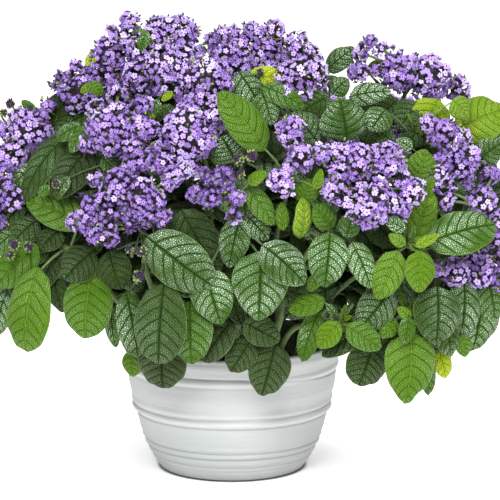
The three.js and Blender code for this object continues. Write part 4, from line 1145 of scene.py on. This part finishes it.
class Recipe:
    """One material, mixed step by step."""

    def __init__(self, name):
        self.material = bpy.data.materials.new(name)
        self.material.use_nodes = True
        self.tree = self.material.node_tree
        self.shader = self.tree.nodes["Principled BSDF"]

    def feed(self, socket, value):
        if isinstance(value, Value):
            self.tree.links.new(value.socket, socket)
        elif isinstance(value, tuple) and len(value) == 3 and socket.type == "RGBA":
            socket.default_value = (*value, 1)
        else:
            socket.default_value = value

    def node(self, kind, settings=None, inputs=None, output=0):
        made = self.tree.nodes.new("ShaderNode" + kind)
        for key, value in (settings or {}).items():
            if key == "stops":
                ramp = made.color_ramp
                while len(ramp.elements) < len(value):
                    ramp.elements.new(0.5)
                for element, (place, colour) in zip(ramp.elements, value):
                    element.position = place
                    element.color = (*colour, 1)
            else:
                setattr(made, key, value)
        for key, value in (inputs or {}).items():
            self.feed(made.inputs[key], value)
        return Value(self, made.outputs[output])

    def parts(self, vector):
        made = self.tree.nodes.new("ShaderNodeSeparateXYZ")
        self.feed(made.inputs[0], vector)
        return [Value(self, socket) for socket in made.outputs]

    def read(self, name):
        """The three numbers of a vector that the sheaf keeps at each point."""
        return self.parts(self.node("Attribute", {"attribute_name": name}, output="Vector"))

    def place(self):
        return self.node("TexCoord", output="Object")

    def ramp(self, factor, *stops):
        return self.node("ValToRGB", {"stops": stops}, {0: factor})

    def mottled(self, tone, patches, strength, *stops):
        """A ramp along the tone, with patches that lighten and darken it."""
        return self.ramp(tone + strength * (patches - 0.5), *stops)

    def mix(self, factor, first, second):
        return self.node("Mix", {"data_type": "RGBA"}, {0: factor, 6: first, 7: second}, 2)

    def noise(self, scale, detail):
        return self.noise_over(self.place(), scale, detail)

    def noise_over(self, vector, scale, detail):
        return self.node("TexNoise", {}, {"Vector": vector, "Scale": scale, "Detail": detail})

    def streaked(self, stretch, detail):
        """Noise that is drawn out level, as the thrower's hand leaves it."""
        drawn = self.node("Mapping", {}, {"Vector": self.place(), "Scale": stretch})
        return self.noise_over(drawn, 1.0, detail)

    def bump(self, height, distance, strength=1.0):
        self.set(Normal=self.node("Bump", {}, {"Height": height, "Distance": distance, "Strength": strength}))

    def set(self, **inputs):
        for key, value in inputs.items():
            self.feed(self.shader.inputs[key.replace("_", " ")], value)


def leaf_material():
    leaf = Recipe("heliotrope leaf")
    u, t, tone = leaf.read("mark")
    along, across, under = leaf.read("grain")
    side = abs(t)
    drift = 0.16 * (leaf.noise(260.0, 1.0) - 0.5)
    off_vein = abs((u + drift + 0.5).fract() - 0.5)
    vein = (1 - off_vein.between(0.005, 0.06)) * (1 - side.between(0.75, 0.97))
    lines = vein.math("MAXIMUM", 1 - side.between(0.01, 0.06))
    open_skin = off_vein.between(0.04, 0.2) * side.between(0.03, 0.14)
    flat = leaf.node("CombineXYZ", {}, {0: along, 1: across, 2: 0.0})
    cells = {"Vector": flat, "Scale": 0.74, "Randomness": 1.0}

    def quilting(feature, output):
        return leaf.node("TexVoronoi", {"feature": feature, "voronoi_dimensions": "2D"}, cells, output)

    edge = quilting("DISTANCE_TO_EDGE", "Distance")
    centre = quilting("F1", "Distance")
    luck = leaf.parts(quilting("F1", "Color"))[0]
    patches = leaf.noise(45.0, 2.0)
    base = leaf.mottled(tone, patches, 0.2, (0.0, (0.032, 0.056, 0.017)), (0.3, (0.036, 0.098, 0.010)),
                        (0.5, (0.056, 0.148, 0.007)), (0.65, (0.094, 0.205, 0.006)),
                        (0.8, (0.17, 0.30, 0.010)), (1.0, (0.46, 0.54, 0.01)))
    # The dark net between the cells and the dark veins are partly the leaf's deeper green, partly painted
    # shade in these sunken grooves
    netted = leaf.mix((1 - edge.between(0.0, 0.19)) * (0.78 - 0.55 * tone), base, (0.003, 0.013, 0.003))
    # Pale mint patches in the cells are painted glints, a painted highlight in the colour, strongest on
    # middling tones; the same mask also sets the coat's weight
    painted_glint_share = (0.12 + 0.88 * tone.between(0.1, 0.32)) * (1 - 0.85 * tone.between(0.42, 0.58))
    painted_glint_and_coat = painted_glint_share * edge.between(0.05, 0.32) * open_skin * patches.between(0.3, 0.66) * (0.62 + luck * 0.72)
    painted_glints = leaf.mix(painted_glint_and_coat * 0.78, netted, (0.46, 0.61, 0.45))
    veined = leaf.mix(lines * (0.9 - 0.5 * tone), painted_glints, (0.004, 0.024, 0.003))
    rib = (1 - side.between(0.01, 0.045)) * tone.between(0.45, 0.62)
    ribbed = leaf.mix(rib * 0.75, veined, (0.17, 0.31, 0.04))
    # The pale edge is a painted highlight: the light caught by the hairs along the margin
    pale = leaf.mix(side.between(0.95, 1.0) * 0.35, ribbed, (0.30, 0.42, 0.14))
    grey = leaf.mix(0.55, base, (0.13, 0.18, 0.09))
    back = leaf.mix(lines * 0.6, grey, (0.24, 0.33, 0.12))
    leaf.set(Base_Color=leaf.mix(under, pale, back), Roughness=0.6 - 0.12 * edge.between(0.0, 0.15),
             Specular_IOR_Level=0.25, Specular_Tint=(0.95, 1.0, 0.45),
             Coat_Weight=painted_glint_and_coat * (1 - under) * 0.5, Coat_Roughness=0.38, Coat_IOR=1.6)
    hairs = leaf.noise(2600.0, 1.0)
    cushions = 0.35 * edge.between(0.0, 0.3) - 0.6 * centre * centre - 0.7 * lines
    leaf.bump(cushions * (1 - 1.4 * under) + 0.08 * hairs, 0.0010, 1.0)
    return leaf.material


def stalk_material():
    stalk = Recipe("hairy stalk")
    tone = stalk.read("mark")[2]
    patches = stalk.noise(180.0, 3.0)
    base = stalk.mottled(tone, patches, 0.35, (0.0, (0.02, 0.035, 0.010)), (0.35, (0.05, 0.09, 0.022)),
                         (0.7, (0.13, 0.21, 0.045)), (1.0, (0.30, 0.38, 0.10)))
    stalk.set(Base_Color=base, Roughness=0.6, Sheen_Weight=0.35, Sheen_Roughness=0.3)
    stalk.bump(stalk.noise(2200.0, 1.0), 0.0003, 0.7)
    return stalk.material


def bud_material(name):
    bud = Recipe(name)
    tone = bud.read("mark")[0]
    grain = bud.noise(700.0, 2.0)
    base = bud.mottled(tone, grain, 0.25, (0.0, (0.040, 0.012, 0.075)), (0.3, (0.016, 0.012, 0.012)),
                       (0.5, (0.03, 0.04, 0.010)), (0.75, (0.11, 0.16, 0.03)), (1.0, (0.30, 0.38, 0.11)))
    bud.set(Base_Color=base, Roughness=0.4)
    bud.bump(grain, 0.0003, 0.6)
    return bud.material


def petal_material():
    petal = Recipe("violet petal")
    x, y, tone = petal.read("mark")
    luck, back, _ = petal.read("grain")
    reach = (x * x + y * y) ** 0.5
    patches = petal.noise(60.0, 2.0)
    shade = tone + 0.42 * (luck - 0.5) + 0.3 * (patches - 0.5) + 0.16 * (reach - 0.5)
    base = petal.ramp(shade, (0.0, (0.075, 0.020, 0.20)), (0.28, (0.150, 0.055, 0.35)),
                      (0.5, (0.295, 0.15, 0.54)), (0.75, (0.47, 0.32, 0.74)), (1.0, (0.58, 0.47, 0.87)))
    ring = 1 - reach.between(0.25, 0.55)
    ringed = petal.mix(ring * 0.4, base, (0.76, 0.70, 0.92))
    eyed = petal.mix(1 - reach.between(0.17, 0.28), ringed, (0.012, 0.004, 0.022))
    # Nearly black towards the floret's root underneath: painted shade where the floret sinks into the head
    under = petal.mix(back.between(0.08, 0.4), eyed, (0.022, 0.018, 0.016))
    petal.set(Base_Color=under, Roughness=0.6 - 0.1 * reach, Sheen_Weight=0.2)
    petal.bump(petal.noise(1500.0, 1.0), 0.0002, 0.4)
    return petal.material


def core_material():
    core = Recipe("shade between florets")
    patches = core.noise(420.0, 2.0)
    base = core.ramp(patches, (0.35, (0.012, 0.006, 0.020)), (0.5, (0.020, 0.014, 0.022)),
                     (0.64, (0.025, 0.030, 0.012)), (0.78, (0.06, 0.07, 0.02)))
    core.set(Base_Color=base, Roughness=0.85)
    core.bump(core.noise(600.0, 2.0), 0.0012, 1.0)
    return core.material


def pot_material():
    glaze = Recipe("pale glaze")
    depth = glaze.read("mark")[0]
    clouds = glaze.streaked((14.0, 14.0, 40.0), 3.0)
    streaks = glaze.streaked((9.0, 9.0, 900.0), 2.0)
    specks = glaze.noise(900.0, 1.0)
    base = glaze.ramp(clouds, (0.3, (0.392, 0.414, 0.418)), (0.5, (0.423, 0.438, 0.436)),
                      (0.7, (0.45, 0.458, 0.448)))
    # Darker in the sunken grooves: painted shade
    painted_groove_shade = glaze.mix(depth.between(0.05, 0.8) * 0.6, base, (0.18, 0.20, 0.20))
    # Lighter over the raised rings
    lighter_on_ridges = glaze.mix((0 - depth).between(0.3, 1.4) * 0.35, painted_groove_shade, (0.66, 0.66, 0.64))
    dusted = glaze.mix(specks.between(0.66, 0.74) * 0.3, lighter_on_ridges, (0.40, 0.38, 0.34))
    # Darker towards the foot: painted shade
    height = glaze.parts(glaze.place())[2]
    painted_shade_at_foot = glaze.mix((1 - height.between(0.0, 0.055)) * 0.35, dusted, (0.28, 0.30, 0.30))
    glaze.set(Base_Color=painted_shade_at_foot, Roughness=0.5 + 0.2 * streaks, Specular_IOR_Level=0.35)
    glaze.bump(streaks + 0.25 * clouds, 0.0006, 0.5)
    return glaze.material


def soil_material():
    soil = Recipe("potting soil")
    tone = soil.read("mark")[0]
    crumbs = soil.noise(420.0, 4.0)
    base = soil.mottled(tone, crumbs, 0.5, (0.0, (0.018, 0.011, 0.007)), (0.3, (0.05, 0.03, 0.018)),
                        (0.55, (0.13, 0.08, 0.045)), (0.78, (0.22, 0.15, 0.09)), (1.0, (0.62, 0.58, 0.52)))
    soil.set(Base_Color=base, Roughness=0.95)
    soil.bump(crumbs, 0.0015, 1.0)
    return soil.material


leaf_look, stalk_look, petal_look = leaf_material(), stalk_material(), petal_material()
bud_look, calyx_look, core_look = bud_material("young bud"), bud_material("calyx"), core_material()
pot_look, soil_look = pot_material(), soil_material()


def finish_piece(piece, node):
    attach(piece, "root")
    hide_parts(node)


for name, sheaf in foliage.items():
    finish_piece(sheaf.make("foliage_" + name, (leaf_look, stalk_look, bud_look)), "stem_" + name)
for name, sheaf in blooms.items():
    piece = sheaf.make("head_" + name, (petal_look, core_look, calyx_look, stalk_look))
    finish_piece(piece, "bloom_" + name)


# The pot: a profile spun round, then its throwing rings cut and raised by hand

WALL_HEIGHTS = (0, 1.4, 7, 12.8, 20, 30, 40, 52, 63, 80, 91)
WALL_RADII = (49.9, 51.0, 55.2, 58.0, 61.2, 64.5, 67.2, 70.3, 72.5, 74.4, 74.8)
# Rings up the wall: height, how far they stand out (or in), half breadth and waver, all in millimetres
RINGS = (
    (85.0, 0.7, 4.2, 0.3), (73.8, 1.1, 2.0, 0.5), (49.5, 0.9, 2.4, 0.4), (44.2, 1.9, 2.3, 0.5),
    (40.9, -0.8, 0.85, 0.5), (47.2, -0.95, 0.8, 0.45), (24.2, 0.55, 1.5, 0.3), (21.9, -0.75, 0.8, 0.3),
    (19.4, 0.6, 1.4, 0.3), (16.9, -0.75, 0.8, 0.3), (13.6, 0.4, 1.3, 0.3), (11.0, -0.55, 0.7, 0.25),
    (7.4, -0.35, 0.7, 0.25), (60.0, 0.25, 3.0, 0.8), (31.0, 0.2, 3.0, 0.6),
)


def wall_radius(height):
    heights = np.array(WALL_HEIGHTS)
    return sum(np.interp(height + shift, heights, WALL_RADII) for shift in (-2, -1, 0, 1, 2)) / 5


def ring_relief(height, angle):
    relief = 0
    for i, (level, out, breadth, waver) in enumerate(RINGS):
        line = level + waver * (np.sin(angle + 1.7 * i) + 0.5 * np.sin(2 * angle + 2.9 * i))
        relief = relief + out * np.exp(-((height - line) / breadth) ** 2)
    sideways = np.cos(angle)
    slanting = 77.2 - 7 * np.clip(sideways, 0, 1) ** 1.5
    relief = relief - 0.8 * np.exp(-((height - slanting) / 0.8) ** 2)
    joining = 0.5 * np.clip(0.75 - sideways, 0, 1)
    return relief - joining * np.exp(-((height - 70.6 - 0.5 * np.sin(angle * 3)) / 0.9) ** 2)


PROFILE_STEP = 0.7
SPIN_STEPS = 144
RELIEF_TOP = 89  # the rings fade out towards this height


def pot_profile():
    """The pot's half outline, from the middle underneath, up over the rim and down to the inner floor."""
    outer = [(0, 0), (30, 0), (48.6, 0)] + [(wall_radius(h), h) for h in np.arange(0.8, 88.8, PROFILE_STEP)]
    lip = [(74.9, 89.6), (74.2, 90.6), (72.9, 91.0), (71.3, 90.7), (70.3, 89.8)]
    inner = [(pot_radius(h) - POT["wall"], h) for h in (87, 80, 72, 66, 56, 44, 30)]
    return outer + lip + inner + [(43.0, 8.0), (39.0, POT["floor"]), (0, POT["floor"])]


def make_pot():
    deselect()
    profile = [(radius * MM, 0, height * MM) for radius, height in pot_profile()]
    mesh = bpy.data.meshes.new("pot_thrown")
    mesh.from_pydata(profile, [(i, i + 1) for i in range(len(profile) - 1)], [])
    pot = bpy.data.objects.new("pot_thrown", mesh)
    bpy.context.scene.collection.objects.link(pot)
    bpy.context.view_layer.objects.active = pot
    pot.select_set(True)
    bpy.ops.object.mode_set(mode="EDIT")
    bpy.ops.mesh.select_all(action="SELECT")
    bpy.ops.mesh.spin(steps=SPIN_STEPS, angle=2 * math.pi, center=(0, 0, 0), axis=(0, 0, 1))
    bpy.ops.mesh.select_all(action="SELECT")
    bpy.ops.mesh.remove_doubles(threshold=1e-6)
    bpy.ops.mesh.normals_make_consistent(inside=False)
    bpy.ops.object.mode_set(mode="OBJECT")
    points = read_points(mesh) / MM
    radius = np.hypot(points[:, 0], points[:, 1])
    height, angle = points[:, 2], np.arctan2(points[:, 1], points[:, 0])
    outside = (radius > pot_radius(height) - 3.4) & (height > 0.5) & (height < RELIEF_TOP)
    fade = np.clip((RELIEF_TOP - height) / 3, 0, 1)
    relief = np.where(outside, ring_relief(height, angle) * fade, 0)
    hand = 0.35 * np.sin(2 * angle + 0.8) * np.clip(height / 60, 0, 1)
    points[:, :2] *= ((radius + relief + hand) / np.maximum(radius, 1))[:, None]
    mesh.vertices.foreach_set("co", (points * MM).ravel())
    write_vectors(mesh, "mark", np.outer(-relief, (1, 0, 0)))
    bpy.ops.object.shade_smooth_by_angle(angle=math.radians(50))
    mesh.materials.append(pot_look)
    return pot


finish_piece(make_pot(), "pot")


# Soil: a crumbly disc with bits of bark and perlite

CRUMBS = 420
SOIL_RINGS, SOIL_SECTORS = 34, 96
SOIL_BOTTOM = 52
SOIL_SINK = 0.3  # the skin lies this much below the solid's top


def soil_height(x, y):
    radius = np.hypot(x, y)
    ripples = 0.8 * np.sin(x * 0.31 + 1.1) * np.sin(y * 0.27) + 0.5 * np.sin(x * 0.83) * np.sin(y * 0.77 + 2)
    return soil_top(radius) + ripples * np.clip((SOIL_EDGE - radius) / 6, 0, 1) - SOIL_SINK


def make_soil():
    sheaf = Sheaf()
    rings, sectors = SOIL_RINGS, SOIL_SECTORS
    angles = np.arange(sectors) * 2 * math.pi / sectors
    r, a = np.meshgrid(np.linspace(1.5, SOIL_EDGE, rings), angles, indexing="ij")
    x, y = r * np.cos(a), r * np.sin(a)
    top = np.stack((x, y, soil_height(x, y) + chance.normal(0, 0.35, x.shape)), -1).reshape(-1, 3)
    skirt = top[-sectors:] * (0.94, 0.94, 0) + (0, 0, SOIL_BOTTOM)
    points = np.concatenate((top, skirt, ((0, 0, SOIL["crown"] - SOIL_SINK), (0, 0, SOIL_BOTTOM))))
    p, q = ring_corners(rings, sectors)
    j, k = ring_corners(1, sectors)
    last = rings * sectors
    faces = np.concatenate((np.stack((p, p + sectors, q), 1), np.stack((q, p + sectors, q + sectors), 1),
                            fan(len(points) - 2, j, k), fan(len(points) - 1, last + k, last + j)))
    sheaf.add(points, faces, 0, (0.3, 0, 0))
    crumb_points, crumb_faces = CRUMB
    for _ in range(CRUMBS):
        spread, angle = (SOIL_EDGE - 2.5) * math.sqrt(chance.uniform()), chance.uniform(0, 2 * math.pi)
        x, y = spread * math.cos(angle), spread * math.sin(angle)
        tone = chance.choice((0.15, 0.4, 0.6, 0.75, 1.0), p=(0.28, 0.27, 0.2, 0.15, 0.1))
        size = chance.uniform(0.9, 2.4) * (0.8 if tone == 1.0 else 1.0)
        stretch = np.array((chance.uniform(0.7, 1.9), chance.uniform(0.6, 1.1), chance.uniform(0.4, 0.8)))
        spin = any_spin(UP)
        rough = crumb_points * (1 + chance.normal(0, 0.13, (len(crumb_points), 1)))
        placed = (rough * size * stretch) @ spin.T + (x, y, soil_height(x, y) + 0.3 * size)
        sheaf.add(placed, crumb_faces, 0, (tone, 0, 0), smooth=False)
    return sheaf.make("soil_crumbs", (soil_look,))


finish_piece(make_soil(), "soil")


# Floor, light and camera

# Round lights: name, place, breadth in metres and watts
LIGHTS = (
    ("key", (-0.35, -1.95, 1.75), 1.3, 72), ("top", (0.1, -0.7, 2.3), 0.5, 22),
    ("side", (1.5, -1.1, 1.3), 0.8, 16), ("back", (0.2, 1.5, 1.7), 1.2, 14),
)
LIT_MIDDLE = (0.0126, 0, 0.18)
WORLD_LIGHT = 0.26
FLOOR_RADIUS = 9
# Distances from the axis in metres, where the painted shade under the foot ends and where the floor's glow,
# painted light, grows bright
CONTACT, GLOW = (0.0500, 0.0545), (0.055, 0.17)


def make_floor():
    deselect()
    bpy.ops.mesh.primitive_circle_add(vertices=96, radius=FLOOR_RADIUS, fill_type="NGON", location=(0, 0, 0))
    floor = bpy.context.object
    floor.name = "studio_floor"
    paper = Recipe("pale floor")
    tint = paper.noise(3.0, 2.0)
    x, y, _ = paper.parts(paper.place())
    reach = (x * x + y * y) ** 0.5
    # A dark ring round the foot is a painted contact shadow; the floor also glows, painted light that is
    # dimmer near the pot
    painted_contact_shadow = 1 - reach.between(*CONTACT)
    glow = paper.mix(reach.between(*GLOW), (0.36, 0.36, 0.36), (0.95, 0.95, 0.95))
    tinted = paper.ramp(tint, (0.3, (0.78, 0.78, 0.78)), (0.7, (0.80, 0.80, 0.80)))
    paper.set(Base_Color=paper.mix(painted_contact_shadow, tinted, (0.12, 0.12, 0.12)), Roughness=0.7,
              Emission_Color=paper.mix(painted_contact_shadow, glow, (0, 0, 0)), Emission_Strength=1.0)
    floor.data.materials.append(paper.material)


def aim_at(thing, target):
    direction = Vector(target) - thing.location
    thing.rotation_euler = direction.to_track_quat("-Z", "Y").to_euler()


def add_light(name, place, breadth, watts):
    data = bpy.data.lights.new(name, "AREA")
    data.shape, data.size, data.energy = "DISK", breadth, watts
    light = bpy.data.objects.new(name, data)
    light.location = place
    aim_at(light, LIT_MIDDLE)
    bpy.context.scene.collection.objects.link(light)


def make_studio():
    make_floor()
    for row in LIGHTS:
        add_light(*row)
    world = bpy.data.worlds.new("studio")
    world.use_nodes = True
    world.node_tree.nodes["Background"].inputs["Color"].default_value = (1, 1, 1, 1)
    world.node_tree.nodes["Background"].inputs["Strength"].default_value = WORLD_LIGHT
    bpy.context.scene.world = world
    bpy.context.scene.view_settings.view_transform = "Standard"
    data = bpy.data.cameras.new("camera")
    data.sensor_width = SENSOR_WIDTH
    data.lens = SENSOR_WIDTH * np.linalg.norm(EYE - AIM) / SHEET_STEP / PICTURE_SIZE
    camera = bpy.data.objects.new("camera", data)
    camera.location = EYE * MM
    aim_at(camera, AIM * MM)
    bpy.context.scene.collection.objects.link(camera)
    bpy.context.scene.camera = camera


make_studio()
